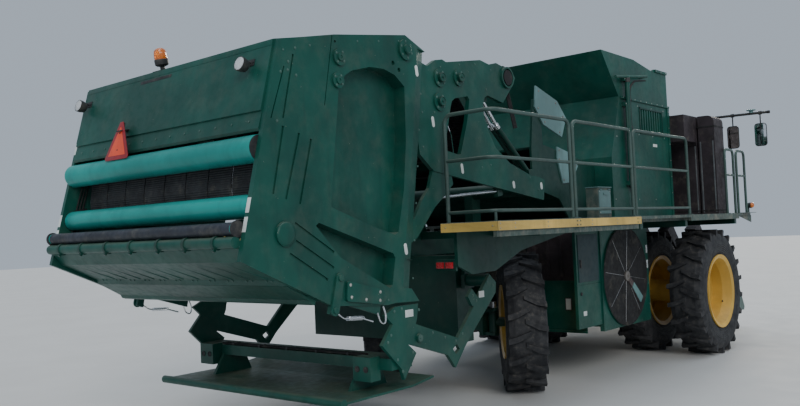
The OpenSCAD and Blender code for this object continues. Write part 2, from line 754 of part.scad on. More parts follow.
module air_ducts() {
    color(rubber_black) place() both_sides() {
        for (i = [0, 1]) {
            d = duct_table[i];
            side_sheet(d[0] - d[1] / 2, d[1], [
                [duct_y1, deck_z + fit_gap], [duct_y2, deck_z + fit_gap],
                [duct_y2, duct_top_z - duct_mouth_h - 60], [duct_y2 + 60, duct_top_z - duct_mouth_h],
                [acc_front_y - fit_gap, duct_top_z - duct_mouth_h], [acc_front_y - fit_gap, duct_top_z],
                [duct_y1 + 160, duct_top_z], [duct_y1 + 50, duct_top_z - 50], [duct_y1, duct_top_z - 160]
            ]);
        }
        // Outer duct: its top outer corner is round
        d = duct_table[2];
        r = duct_round;
        x = d[0] + d[1] / 2;
        translate([0, duct_y2, 0]) rotate([90, 0, 0]) linear_extrude(duct_y2 - duct_y1)
            polygon(concat(
                [[x - d[1], deck_z + fit_gap], [x, deck_z + fit_gap]],
                [for (a = [0:15:90]) [x - r + r * cos(a), duct_top_z - r + r * sin(a)]],
                [[x - d[1], duct_top_z]]));
    }
}

// Cab

cab_low_z = deck_z + fit_gap;
cab_floor_t = 60;
cab_roof_t = 160;
cab_wall_top = cab_top_z - cab_roof_t;

module cab_floor() {
    color(paint_dark) place() {
        block([-cab_half_w, cab_front_y, cab_low_z], [cab_half_w, cab_rear_y, cab_low_z + cab_floor_t]);
        // Beams that carry the cab's front on the frame
        both_sides()
            block([440, cab_front_y + 200, cab_low_z - 140], [540, outrigger_y[0] - fit_gap, cab_low_z + 5]);
        // Console beside the seat, and the steering column with its wheel
        z = cab_low_z + cab_floor_t;
        block([-460, -1400, z - 5], [-320, -850, z + 560]);
        bar([0, cab_front_y + 200, z - 5], [0, cab_front_y + 420, z + 700], 70);
        translate([0, cab_front_y + 427, z + 722]) rotate([-17, 0, 0]) {
            rotate_extrude($fn = 48) translate([180, 0]) circle(d = 28, $fn = 16);
            for (a = [90, 210, 330]) rotate([0, 0, a]) translate([0, -18, -8]) cube([180, 36, 12]);
            translate([0, 0, -30]) cylinder(h = 36, d = 80);
        }
    }
}

door_y1 = -1750;
door_y2 = -950;

// Door hinges: lugs and pins on the wall, barrels on the door
hinge_x = cab_half_w + 22;
hinge_y = door_y2 + 10;
hinge_z = [cab_low_z + 400, cab_low_z + 1300];
barrel_h = 100;
barrel_d = 36;
hinge_pin_d = 16;

module wall_hinges() {
    for (z = hinge_z) {
        block([cab_half_w - 5, door_y2 + 4, z - 30], [hinge_x, door_y2 + 16, z - fit_gap]);
        translate([hinge_x, hinge_y, z - 30]) cylinder(h = 30 - fit_gap, d = barrel_d);
        translate([hinge_x, hinge_y, z - 10]) cylinder(h = barrel_h + 20, d = hinge_pin_d);
    }
}

module door_hinges() {
    for (z = hinge_z) difference() {
        union() {
            translate([hinge_x, hinge_y, z]) cylinder(h = barrel_h, d = barrel_d);
            block([cab_half_w - 5, door_y2 - 60, z], [cab_half_w + 14, door_y2 - 20, z + barrel_h]);
            block([cab_half_w + 6, door_y2 - 30, z], [cab_half_w + 14, hinge_y, z + barrel_h]);
        }
        translate([hinge_x, hinge_y, z - 1])
            cylinder(h = barrel_h + 2, d = hinge_pin_d + 2 * fit_gap);
    }
}

module cab_walls() {
    z1 = cab_low_z + cab_floor_t;
    z2 = cab_wall_top;
    color(paint_dark) place() {
        wall_hinges();
        // Rear wall with its window
        difference() {
            block([-cab_half_w, cab_rear_y - cab_wall, z1], [cab_half_w, cab_rear_y, z2]);
            block([-cab_half_w + 150, cab_rear_y - 2 * cab_wall, z1 + 500],
                  [cab_half_w - 150, cab_rear_y + cab_wall, z2 - 120]);
        }
        // Right side with its window
        difference() {
            block([-cab_half_w, cab_front_y, z1], [-cab_half_w + cab_wall, cab_rear_y - 10, z2]);
            block([-cab_half_w - 10, cab_front_y + 100, z1 + 300],
                  [-cab_half_w + 2 * cab_wall, cab_rear_y - 200, z2 - 80]);
        }
        // Left side round the door
        difference() {
            block([cab_half_w - cab_wall, cab_front_y, z1], [cab_half_w, cab_rear_y - 10, z2]);
            block([cab_half_w - 2 * cab_wall, door_y1, z1 - 1], [cab_half_w + 10, door_y2, z2 - 60]);
        }
        // Front sill and header
        block([-cab_half_w + cab_wall, cab_front_y, z1],
              [cab_half_w - cab_wall, cab_front_y + cab_wall, z1 + 200]);
        block([-cab_half_w + cab_wall, cab_front_y, z2 - 100],
              [cab_half_w - cab_wall, cab_front_y + cab_wall, z2]);
    }
}

module cab_door() {
    z1 = cab_low_z + cab_floor_t;
    z2 = cab_wall_top - 60;
    color(paint_dark) place() {
        difference() {
            block([cab_half_w - cab_wall + 10, door_y1 + 6, z1 + 6], [cab_half_w, door_y2 - 6, z2 - 6]);
            block([cab_half_w - 2 * cab_wall, door_y1 + 90, z1 + 250],
                  [cab_half_w + 10, door_y2 - 90, z2 - 90]);
        }
        door_hinges();
    }
}

glass_t = 10;

module cab_glass() {
    z1 = cab_low_z + cab_floor_t;
    z2 = cab_wall_top;
    g = fit_gap;
    color([0.2, 0.28, 0.3, 0.5]) place() {
        block([-cab_half_w + cab_wall + g, cab_front_y + 10, z1 + 200 + g],
              [cab_half_w - cab_wall - g, cab_front_y + 10 + glass_t, z2 - 100 - g]);
        block([-cab_half_w + 20, cab_front_y + 100 + g, z1 + 300 + g],
              [-cab_half_w + 20 + glass_t, cab_rear_y - 200 - g, z2 - 80 - g]);
        block([-cab_half_w + 150 + g, cab_rear_y - 40, z1 + 500 + g],
              [cab_half_w - 150 - g, cab_rear_y - 40 + glass_t, z2 - 120 - g]);
    }
}

module cab_door_glass() {
    z1 = cab_low_z + cab_floor_t;
    z2 = cab_wall_top - 60;
    color([0.2, 0.28, 0.3, 0.5]) place()
        block([cab_half_w - 30, door_y1 + 90 + fit_gap, z1 + 250 + fit_gap],
              [cab_half_w - 30 + glass_t, door_y2 - 90 - fit_gap, z2 - 90 - fit_gap]);
}

// Roof with a sloped front, and work lamps in a row under its front edge
roof_lamps_n = 6;

module cab_roof() {
    z = cab_wall_top + fit_gap;
    color(paint) place() {
        side_sheet(-cab_half_w - 20, 2 * cab_half_w + 40, [
            [cab_front_y - 120, z], [cab_rear_y + 20, z], [cab_rear_y + 20, cab_top_z - 50],
            [cab_rear_y - 50, cab_top_z], [cab_front_y + 80, cab_top_z], [cab_front_y - 120, z + 80]
        ]);
        for (i = [0:roof_lamps_n - 1])
            translate([(i - (roof_lamps_n - 1) / 2) * 280, cab_front_y - 75, z - 45]) rotate([90, 0, 0])
                cylinder(h = 60, d1 = 90, d2 = 130);
        both_sides()
            block([cab_half_w - 330, cab_front_y - 80, z - 80], [cab_half_w - 270, cab_front_y - 40, z + 5]);
    }
}

module cab_seat() {
    z = cab_low_z + cab_floor_t + 0.3;
    color([0.1, 0.1, 0.11]) place() {
        block([-200, -1250, z], [200, -850, z + 300]);
        block([-260, -1400, z + 295], [260, -820, z + 420]);
        block([-250, -880, z + 400], [250, -760, z + 1050]);
    }
}

module mirrors() {
    bar_y = -1500;
    bar_z = 3800;
    color([0.12, 0.14, 0.14]) place() {
        // Aerial on the right bar
        translate([-2310, bar_y, bar_z + 15]) cylinder(h = 60, d1 = 60, d2 = 150);
        both_sides() mirror_arm(bar_y, bar_z);
    }
}

module mirror_arm(bar_y, bar_z) {
    bar([cab_half_w + 20 + fit_gap, bar_y, bar_z + 20], [2600, bar_y, bar_z], 45);
    for (x = [2000, 2450]) {
        bar([x, bar_y, bar_z - 420], [x, bar_y, bar_z], 22);
        block([x - 100, bar_y - 30, bar_z - 560], [x + 100, bar_y + 30, bar_z - 170]);
    }
}

// Header, raised: its arms turn about a pivot on the chassis

header_pivot_y = -1100;
header_pivot_z = frame_low_z + 110;
header_pin_d = 80;
toolbar_y = -1650;
unit_front_y = header_front_y + 850;
unit_top_z = header_clear_z + 1150;
// Width of the passage that the plants go through
passage_w = 180;
toolbar_half_w = row_units_n / 2 * row_pitch + 60;

module header_frame() {
    color(paint) place() {
        block([-toolbar_half_w, toolbar_y - 75, header_pivot_z - 100],
              [toolbar_half_w, toolbar_y + 75, header_pivot_z + 50]);
        both_sides() {
            block([rail_in - 40, toolbar_y + 70, header_pivot_z - 70],
                  [rail_in + 40 - fit_gap, header_pivot_y, header_pivot_z + 50]);
            translate([rail_in - 40, header_pivot_y, header_pivot_z]) rotate([0, 90, 0]) {
                cylinder(h = 80 - fit_gap, d = 150);
                cylinder(h = 125, d = header_pin_d);
            }
        }
    }
}

row_x = [for (i = [0:row_units_n - 1]) (i - (row_units_n - 1) / 2) * row_pitch];

unit_wall = 12;
unit_back_y = -1960;
unit_post_y = unit_front_y + 100;
drum_d = 100;
drum_discs_n = 14;

// Half of a unit: side wall, front post, floor and a drum with its discs
module row_unit_half() {
    in_x = row_unit_w / 2 - unit_wall;
    low_z = header_clear_z + 60;
    high_z = unit_top_z - 350;
    g = fit_gap;
    drum_x = (passage_w / 2 + in_x) / 2;
    side_sheet(in_x, unit_wall, [
        [toolbar_y - 75 - g, low_z], [toolbar_y - 75 - g, unit_top_z - 30],
        [unit_front_y + 250, unit_top_z - 30],
        [unit_front_y, unit_top_z - 310], [unit_front_y, low_z]
    ]);
    block([passage_w / 2, unit_front_y, low_z], [in_x - g, unit_post_y, high_z - g]);
    block([passage_w / 2, unit_post_y + g, low_z], [in_x - g, unit_back_y - g, low_z + 60]);
    pitch = (high_z - low_z - 60 - 2 * g) / drum_discs_n;
    translate([drum_x, (unit_post_y + unit_back_y) / 2, low_z + 60 + g]) rotate_extrude($fn = 24)
        polygon(concat([[0, 0]], [for (i = [0:drum_discs_n - 1])
            each [[drum_d / 2 - 18, pitch * i], [drum_d / 2 - 18, pitch * (i + 0.4)],
                  [drum_d / 2, pitch * (i + 0.5)], [drum_d / 2 - 18, pitch * (i + 0.7)]]],
            [[drum_d / 2 - 18, pitch * drum_discs_n], [0, pitch * drum_discs_n]]));
}

module row_units() {
    in_x = row_unit_w / 2 - unit_wall - fit_gap;
    color(paint) place() for (x = row_x) translate([x, 0, 0]) {
        both_sides() row_unit_half();
        // Back and roof; the passage between the halves is open to the front and below
        side_sheet(-in_x, 2 * in_x, [
            [toolbar_y - 75 - fit_gap, header_clear_z + 60], [toolbar_y - 75 - fit_gap, unit_top_z],
            [unit_back_y, unit_top_z], [unit_back_y, header_clear_z + 60]
        ]);
        side_sheet(-in_x, 2 * in_x, [
            [unit_back_y - fit_gap, unit_top_z - 350], [unit_back_y - fit_gap, unit_top_z],
            [unit_front_y + 250, unit_top_z], [unit_front_y, unit_top_z - 300],
            [unit_front_y, unit_top_z - 350]
        ]);
    }
}

// Tubes that carry the cotton up and back from each unit
row_duct_w = 190;
row_duct_top = [-1340, 1900];

module row_ducts() {
    color(rubber_black) place() for (x = row_x) translate([x, 0, 0]) {
        side_sheet(-row_duct_w / 2, row_duct_w, [
            [-2060, unit_top_z + fit_gap], [-1760, unit_top_z + fit_gap],
            row_duct_top, row_duct_top + [-230, 100]
        ]);
        side_sheet(-row_duct_w / 2 - 12, row_duct_w + 24, [
            [-2080, unit_top_z + fit_gap], [-1740, unit_top_z + fit_gap],
            [-1740, unit_top_z + 40], [-2080, unit_top_z + 40]
        ]);
    }
}

divider_x = [for (i = [0:row_units_n]) (i - row_units_n / 2) * row_pitch];

module row_dividers() {
    base_w = row_pitch - passage_w - 10;
    color(paint) place() for (x = divider_x) translate([x, 0, 0]) intersection() {
        side_sheet(-base_w / 2, base_w, [
            [unit_front_y - fit_gap, header_clear_z + 60], [unit_front_y - fit_gap, unit_top_z - 350],
            [header_front_y + 300, header_clear_z + 330], [header_front_y, header_clear_z + 60],
            [header_front_y + 60, header_clear_z]
        ]);
        linear_extrude(unit_top_z) polygon([
            [-base_w / 2, unit_front_y], [base_w / 2, unit_front_y], [18, header_front_y],
            [-18, header_front_y]
        ]);
    }
}

// Module chamber: the fixed front half, in the chamber's own straight frame

fixed_half_w = gate_half_w - chamber_wall - chamber_gap;
gate_pivot = [382, 26];
gate_pin_d = 90;
// The wall has an ear at the gate's pivot, a front cheek and a long foot to the front
fixed_side = [
    [-26, -139], [150, -60], [330, 80], [380, 96], [435, 74], [452, 26], [435, -22], [380, -44],
    [320, -120], [300, -400], [310, -1016], [124, -1215], [-1973, -1880], [-2060, -1640],
    [-1864, -1564], [-1772, -1550], [-1328, -1330], [-1081, -1123], [-975, -900], [-936, -731],
    [-945, -619], [-1000, -540], [-1070, -520], [-1361, -630], [-1634, -438], [-1701, -359],
    [-1653, -285], [-1335, -164], [-1183, -175], [-1015, -117], [-366, -112], [-303, -82],
    [-178, -83]
];
fixed_slot = [
    [-330, -590], [-370, -530], [-429, -505], [-670, -500], [-695, -540], [-600, -760],
    [-390, -1104], [-360, -1110], [-116, -1026], [-130, -990]
];
// Bent plate from the foot down to the gate's leg
strut_side = [
    [120, -1190], [-180, -1290], [-184, -1399], [-56, -1475], [182, -1581], [540, -1830],
    [640, -1860], [640, -1700], [527, -1621], [375, -1475], [233, -1375]
];
cheek_tube = [-1503, -347];

// Round bearing housings on the wall's outside: [rearwards, up, radius]
fixed_bearings = [[-200, -273, 95], [-541, -292, 90], [-138, -521, 95]];

module chamber_wall_sheet() {
    chamber_frame() {
        // Pin that the gate turns on
        translate([fixed_half_w - 5, gate_pivot[0], gate_pivot[1]]) rotate([0, 90, 0])
            cylinder(h = chamber_wall + chamber_gap, d = gate_pin_d);
        difference() {
            side_sheet(fixed_half_w - chamber_wall, chamber_wall, fixed_side);
            side_sheet(fixed_half_w - 2 * chamber_wall, 3 * chamber_wall, fixed_slot);
        }
        side_sheet(fixed_half_w - chamber_wall, chamber_wall - 10, strut_side);
        for (b = fixed_bearings) translate([fixed_half_w - 5, b[0], b[1]]) rotate([0, 90, 0]) {
            cylinder(h = 25, r = b[2]);
            cylinder(h = 60, r = 45);
        }
        // Open tube end in the front cheek
        translate([fixed_half_w - 5, cheek_tube[0], cheek_tube[1]]) rotate([0, 90, 0]) difference() {
            cylinder(h = 35, r = 125);
            translate([0, 0, 8]) cylinder(h = 40, r = 105);
        }
    }
}

module chamber_wall_left() { color(paint) place() chamber_wall_sheet(); }
module chamber_wall_right() { color(paint) place() mirror([1, 0, 0]) chamber_wall_sheet(); }

// Twin cylinders that hold the belts tight, and the rod below the foot: [x, from, to, diameter]
belt_cylinders = [[1300, [-1080, -560], [-1300, -880], 36], [1300, [-1290, -870], [-1840, -1500], 64],
                  [1375, [-1080, -560], [-1300, -880], 36], [1375, [-1290, -870], [-1840, -1500], 64]];
stay_rod = [[1395, 100, -1500], [1395, -1100, -1620]];

module chamber_crossbeams() {
    w = fixed_half_w - chamber_wall - fit_gap;
    color(paint_dark) place() {
        chamber_frame() {
            cross_tube(w, -1536, -329, 260);
            cross_tube(w, -1900, -1720, 180);
            cross_tube(w, -700, -1240, 160);
            for (b = fixed_bearings) cross_tube(w, b[0], b[1], 110);
            block([-w, -1000, -160], [w, 130, -130]);
            both_sides() {
                for (c = belt_cylinders) bar([c[0], c[1][0], c[1][1]], [c[0], c[2][0], c[2][1]], c[3]);
                // Brackets of the cylinders and of the stay rod
                block([1270, -1110, -590], [w, -1040, -470]);
                block([1260, -1900, -1640], [w, -1800, -1480]);
                bar(stay_rod[0], stay_rod[1], 34);
                block([1360, 60, -1540], [w, 140, -1460]);
                block([1360, -1160, -1680], [w, -1060, -1560]);
            }
        }
        // Posts from the rear frame up to the lower tube
        both_sides()
            block([rail_in, 4020, frame_top_z + fit_gap], [frame_half_w, 4200, 2530]);
    }
}

// Belts: flat strips side by side that follow a path of [rearwards, up]
belt_t = 10;
belt_gap = 14;
belts_n = 8;

// The path's line moved sideways by t, to close a thin strip
function moved(path, t) = [for (i = [0:len(path) - 1])
    let(a = path[max(i - 1, 0)], b = path[min(i + 1, len(path) - 1)], n = [a[1] - b[1], b[0] - a[0]])
    path[i] + t * n / norm(n)];
function strip(path, t) = concat(
    path, [for (i = [len(path) - 1:-1:0]) moved(path, t)[i]]);

module belts(half_w, path) {
    pitch = 2 * half_w / belts_n;
    for (i = [0:belts_n - 1])
        side_sheet(-half_w + i * pitch + belt_gap / 2, pitch - belt_gap, strip(path, belt_t));
}

module chamber_belts() {
    color(rubber_black) place() chamber_frame()
        belts(1240, [[-200, -196], [-541, -218.7], [-700, -300], [-900, -600], [-1010, -900],
                     [-1000, -1150], [-760, -1350], [-500, -1340]]);
}

module gate_belts() {
    color(rubber_black) place() chamber_frame()
        belts(1340, [[520, 60], [900, 110], [1357, 125], [1900, 60], [2130, -380], [2252, -696],
                     [2352, -996], [2372, -1158]]);
}

// Feeder between the accumulator and the chamber: two side sheets, floor and top
feeder_x = 1230;
feeder_t = 30;
feeder_front_y = 2150 + fit_gap;

module feeder() {
    color(paint_dark) place() {
        both_sides() side_sheet(feeder_x - feeder_t, feeder_t, [
            [feeder_front_y, deck_z + fit_gap], [2940, deck_z + fit_gap], [3200, 2420], [3850, 2560],
            [3850, 3060], [3750, 3700], [3600, 3700], [3560, 3120], [feeder_front_y, 2900]
        ]);
        side_sheet(-feeder_x + feeder_t - 5, 2 * (feeder_x - feeder_t) + 10, [
            [2700, deck_z + 60], [3200, 2460], [3840, 2600], [3840, 2570], [3200, 2430], [2720, deck_z + 40]
        ]);
        side_sheet(-feeder_x + feeder_t - 5, 2 * (feeder_x - feeder_t) + 10, [
            [feeder_front_y, 2890], [3560, 3110], [3560, 3080], [feeder_front_y, 2860]
        ]);
    }
}

module guard_plates() {
    color(guard_grey) place() both_sides() {
        side_sheet(feeder_x + fit_gap, 20, [
            [3703, 3874], [3169, 3724], [2947, 3514], [3083, 3247], [3553, 3382], [3744, 3593]
        ]);
        side_sheet(feeder_x + fit_gap, 20, [
            [3225, 3110], [2886, 3041], [2679, 2871], [2872, 2647], [3107, 2622], [3235, 2960]
        ]);
    }
}

// Gate: it turns about its pivot at the chamber's top

gate_front = [[65, -4], [264, -638], [395, -1019], [595, -1581], [754, -2009], [841, -2273], [756, -2420]];
gate_side = concat(gate_front, [
    [1100, -2346], [1220, -2335], [1919, -2152], [2818, -1549], [2031, 172], [1357, 196], [346, 172]
]);
gate_inner = gate_half_w - chamber_wall;
// Recesses pressed into the wall: the arched one and the triangle below it
recess_depth = 140;
recess_wall = 15;
gate_recesses = [
    [[1397, -255], [1300, -175], [1200, -135], [941, -115], [745, -144], [598, -210], [480, -330],
     [586, -866], [729, -1319], [905, -1700], [960, -1715], [1287, -1556], [1746, -1305]],
    [[1960, -1430], [1920, -1412], [1030, -1880], [1008, -1930], [1110, -2170], [1150, -2190],
     [1731, -1760]]
];
// Beads and slots sunk into the wall's outside: [from, to, width]
gate_beads = [
    [[2144, -549], [2376, -1084], 22], [[1978, -626], [2247, -1148], 22],
    [[1850, -692], [2102, -1215], 22], [[2193, -1361], [1800, -1700], 22],
    [[2216, -1509], [1832, -1832], 22], [[2305, -1600], [1927, -1916], 22],
    [[1895, 39], [2129, -484], 18], [[2020, -56], [2259, -471], 12], [[1383, 191], [1620, -420], 10]
];
bead_depth = 14;
// Low round housings on the wall's outside: [rearwards, up, radius, height]
gate_housings = [
    [gate_pivot[0], gate_pivot[1], 105, 22], [gate_pivot[0], gate_pivot[1], 50, 45],
    [2322, -1428, 105, 20], [1345, -10, 75, 22], [1410, -215, 70, 22]
];
// Bevel along the wall's front edge
bevel_w = 130;
bevel_d = 38;

// A sunk line on the wall's outside
module bead_cut(p, q, w) {
    v = q - p;
    translate([gate_half_w - bead_depth, p[0], p[1]]) rotate([atan2(v[1], v[0]), 0, 0])
        translate([0, 0, -w / 2]) cube([2 * bead_depth, norm(v), w]);
}

// Takes the outer corner off along one stretch of the front edge
module bevel_cut(p, q) {
    v = q - p;
    translate([0, q[0], q[1]]) rotate([atan2(v[1], v[0]), 0, 0]) rotate([90, 0, 0])
        linear_extrude(norm(v)) polygon([
            [gate_half_w - bevel_d, -1], [gate_half_w + 5, bevel_w * (1 + 5 / bevel_d)],
            [gate_half_w + 5, -40], [gate_half_w - bevel_d, -40]
        ]);
}

// An outline made larger about its middle, for the pan behind a recess
function grown(points, k) =
    let(c = [for (i = [0, 1]) [for (p = points) p[i]] * [for (p = points) 1]] / len(points))
    [for (p = points) c + (p - c) * k];

module gate_wall() {
    pan_x = gate_half_w - recess_depth;
    chamber_frame() difference() {
        union() {
            side_sheet(gate_inner, chamber_wall, gate_side);
            for (r = gate_recesses)
                side_sheet(pan_x - recess_wall, recess_depth - chamber_wall + recess_wall + 5,
                           grown(r, 1.03));
            for (h = gate_housings) translate([gate_half_w - 5, h[0], h[1]]) rotate([0, 90, 0])
                cylinder(h = h[3] + 5, r = h[2]);
            // Latch bar
            side_sheet(gate_inner, chamber_wall - 10,
                [[1750, -1900], [1830, -1920], [1960, -2210], [1890, -2250]]);
        }
        for (r = gate_recesses) side_sheet(pan_x, recess_depth + 1, r);
        for (b = gate_beads) bead_cut(b[0], b[1], b[2]);
        for (i = [0:len(gate_front) - 3]) bevel_cut(gate_front[i], gate_front[i + 1]);
        // Two slots beside the arch
        for (c = [[597, -93], [523, -164]])
            translate([gate_half_w - 20, c[0], c[1]]) rotate([0, 90, 0]) cylinder(h = 30, d = 46);
        translate([gate_inner - 10, gate_pivot[0], gate_pivot[1]]) rotate([0, 90, 0])
            cylinder(h = chamber_wall + 10, d = gate_pin_d + 2 * fit_gap);
    }
    // Latch box that hangs under the wall's edge
    chamber_frame() difference() {
        side_sheet(gate_inner, chamber_wall - 20,
                   [[1703, -2000], [1250, -2200], [1329, -2400], [1741, -2190]]);
        translate([0, 0, -fit_gap]) side_sheet(gate_inner - 5, chamber_wall, gate_side);
    }
}

module gate_wall_left() { color(paint) place() gate_wall(); }
module gate_wall_right() { color(paint) place() mirror([1, 0, 0]) gate_wall(); }

module gate_skin() {
    w = gate_inner - fit_gap;
    color(paint) place() chamber_frame() {
        // Top, upper rear panel and the lipped strip below it
        side_sheet(-w, 2 * w, [
            [400, 146], [1357, 168], [2016, 144], [2266, -398], [2262, -412], [2318, -540],
            [2240, -552], [2240, -577], [2362, -560], [2368, -535], [2300, -404], [2312, -392],
            [2044, 182], [1357, 198], [400, 176]
        ]);
        // Bracket over the upper roller
        block([-780, 2242, -640], [-540, 2280, -560]);
        // Floor below, from the front edge to the rear
        side_sheet(-w, 2 * w, [
            [900, -2330], [1220, -2300], [1910, -2115], [2055, -2020], [2038, -1990], [1890, -2085],
            [1220, -2270], [900, -2300]
        ]);
    }
}

// Rollers of the gate: [rearwards, up, diameter]
roller_table = [[2386, -700, roller_d], [2496, -1158, 200], [2754, -1296, 105]];
// The green tube below them: place, diameter, and where its clamp rings sit
tube_place = [2795, -1398];
tube_d = 95;
clamp_x = [-1250, -850, -460, -30, 390, 840, 1250];
// Chute panels below the tube, with slanting ribs, down to two cross-bars
chute_upper = [[2765, -1440], [2700, -1560], [2360, -1800]];
chute_lower = [[2340, -1850], [2120, -2030]];
ribs_n = 11;
rib_pitch = 240;

module gate_rollers() {
    w = gate_inner - fit_gap;
    color(teal) place() chamber_frame()
        for (r = roller_table) cross_tube(w, r[0], r[1], r[2]);
}

module gate_lower_panels() {
    w = gate_inner - fit_gap;
    color(paint) place() chamber_frame() {
        cross_tube(w, tube_place[0], tube_place[1], tube_d);
        for (x = clamp_x) translate([x - 12, tube_place[0], tube_place[1]]) rotate([0, 90, 0])
            cylinder(h = 24, d = tube_d + 14);
        side_sheet(-w, 2 * w, strip(chute_upper, 20));
        side_sheet(-w, 2 * w, strip(chute_lower, 20));
        // Cross-bars at the panels' lower ends
        side_sheet(-w, 2 * w, [[2400, -1770], [2330, -1750], [2290, -1830], [2320, -1880], [2360, -1860]]);
        side_sheet(-w, 2 * w, [[2150, -1995], [2080, -1985], [2050, -2060], [2085, -2100], [2120, -2080]]);
        // Ribs
        for (i = [0:ribs_n - 1]) {
            x = (i - (ribs_n - 1) / 2) * rib_pitch;
            bar([x + 60, 2712, -1558], [x - 130, 2400, -1790], 26);
            bar([x + 40, 2330, -1862], [x - 60, 2120, -2040], 22);
        }
    }
}

work_lamp_x = [-1250, 1400];
triangle_x = 530;

module gate_lamps() {
    color([1, 0.55, 0.05]) place() chamber_frame() {
        // Beacon with its foot
        translate([230, 1960, 185.5]) cylinder(h = 60, d = 60);
        translate([230, 1960, 240]) cylinder(h = 120, d = 130);
        // Work lamps under the panel's upper corners
        for (x = work_lamp_x)
            translate([x, 2175, -10]) rotate([-65, 0, 0]) {
                translate([0, 0, -15]) cylinder(h = 110, d = 130);
                translate([0, 0, -37]) cylinder(h = 30, d = 60);
            }
        // Slow-vehicle triangle, blank, on its bracket
        block([triangle_x - 40, 2288.4, -340], [triangle_x + 40, 2362, -320]);
        translate([triangle_x, 2394, -438]) rotate([-68, 0, 0])
            linear_extrude(8)
                polygon([[-205, 150], [-190, 175], [190, 175], [205, 150], [25, -205], [-25, -205]]);
    }
}

// Module handler below the gate

hanger_x = 1180;
hanger_t = 50;
handler_pin_d = 90;

module handler_hangers() {
    top = frame_top_z - outrigger_h - fit_gap;
    color(paint_dark) place() both_sides() difference() {
        side_sheet(hanger_x, hanger_t, [
            [handler_pivot_y - 90, handler_pivot_z - 90], [handler_pivot_y - 130, top],
            [handler_pivot_y - 50, top], [handler_pivot_y + 90, handler_pivot_z + 60],
            [handler_pivot_y + 90, handler_pivot_z - 90]
        ]);
        translate([hanger_x - 10, handler_pivot_y, handler_pivot_z]) rotate([0, 90, 0])
            cylinder(h = hanger_t + 20, d = handler_pin_d + 2 * fit_gap);
    }
}

handler_side = [
    [5228, 1469], [5348, 1561], [5981, 945], [6657, 1166], [6632, 1222], [6609, 1362], [6960, 1362],
    [7104, 1297], [6997, 1198], [7159, 1019], [6897, 766], [6857, 656], [6665, 887], [6782, 981],
    [6745, 976], [6164, 796], [6039, 648], [5846, 855], [5246, 1353]
];
handler_eye = [[6075, 844], [6003, 886], [5955, 828], [6028, 786]];
handler_lug = [[5560, 1330], [5600, 1340], [5690, 1433], [5770, 1355], [5700, 1250], [5640, 1240]];
tray_half_w = 1400;
tray_front_y = 6260;
tray_rear_y = 7570;
tray_z = 545;

module module_handler() {
    t = 40;
    boss_x = hanger_x + hanger_t + fit_gap;
    color(paint) place() {
        both_sides() {
            // Side plate with its arm up to the pivot
            difference() {
                side_sheet(handler_half_w - t, t, handler_side);
                side_sheet(handler_half_w - 2 * t, 3 * t, handler_eye);
            }
            side_sheet(handler_half_w - t, t, handler_lug);
            translate([handler_half_w - 5, 6618, 1025]) rotate([0, 90, 0]) cylinder(h = 25, d = 90);
            translate([hanger_x - 20, handler_pivot_y, handler_pivot_z]) rotate([0, 90, 0])
                cylinder(h = handler_half_w - hanger_x + 20 - t + 5, d = handler_pin_d);
            translate([boss_x, handler_pivot_y, handler_pivot_z]) rotate([0, 90, 0])
                cylinder(h = handler_half_w - t + 5 - boss_x, d = handler_pin_d + 50);
            // Hangers from the cross-beam down to the tray
            side_sheet(1040, 40, [[6720, 775], [7010, 775], [7160, 540], [6620, 540]]);
            // Stop blocks at the beam's ends
            block([1100, 6990, 660], [1330, 7130, 890]);
        }
        // Cross-beam and the tray with its rounded rear lip
        block([-handler_half_w + t - 5, 6700, 760], [handler_half_w - t + 5, 7000, 870]);
        side_sheet(-tray_half_w, 2 * tray_half_w, [
            [tray_front_y, tray_z + 30], [tray_front_y, tray_z + 50], [6600, tray_z + 10],
            [tray_rear_y, tray_z + 10], [tray_rear_y, tray_z - 10], [6600, tray_z - 10]
        ]);
        cross_tube(tray_half_w, tray_rear_y, tray_z, 80);
    }
}

// Brackets under the platforms' rear, and the lamps on their ends
bracket_x = platform_in_x + 40;
bracket_rear_y = 6000;

module lamp_brackets() {
    y = outrigger_y[3];
    color(paint_dark) place() both_sides() {
        side_sheet(bracket_x, 40, [
            [3500, frame_top_z], [3500, 2000], [4760, 1800], [5310, 1600], [5750, 1590],
            [bracket_rear_y, 1690], [bracket_rear_y, frame_top_z], [y + outrigger_w + 5, frame_top_z],
            [y + outrigger_w + 5, frame_top_z - outrigger_h - 5],
            [y - 5, frame_top_z - outrigger_h - 5], [y - 5, frame_top_z]
        ]);
        block([bracket_x - 250, bracket_rear_y - 30, 1640], [bracket_x + 10, bracket_rear_y, 1760]);
    }
}

module rear_lamps() {
    color([0.5, 0.03, 0.05]) place() both_sides() for (dx = [-230, -110])
        block([bracket_x + dx, bracket_rear_y + fit_gap, 1665],
              [bracket_x + dx + 100, bracket_rear_y + 30, 1735]);
}

chassis_frame();
front_axle();
engine_block();
engine_housing_right();
engine_housing_left();
main_deck();
platform_right();
platform_left();
handrails_right();
handrails_left();
boarding_ladder();
rear_axle();
steering_rod();
knuckle_right();
knuckle_left();
front_tyres_right();
front_rims_right();
front_tyres_left();
front_rims_left();
rear_tyre_right();
rear_rim_right();
rear_tyre_left();
rear_rim_left();
rotary_screen();
air_ducts();
accumulator_wall_right();
accumulator_wall_left();
accumulator_rear_wall();
accumulator_front_wall();
accumulator_roof();
cab_floor();
cab_walls();
cab_door();
cab_roof();
cab_glass();
cab_door_glass();
cab_seat();
mirrors();
header_frame();
row_units();
row_dividers();
row_ducts();
chamber_wall_right();
chamber_wall_left();
chamber_crossbeams();
chamber_belts();
feeder();
guard_plates();
gate_belts();
gate_wall_right();
gate_wall_left();
gate_skin();
gate_rollers();
gate_lower_panels();
gate_lamps();
handler_hangers();
module_handler();
lamp_brackets();
rear_lamps();
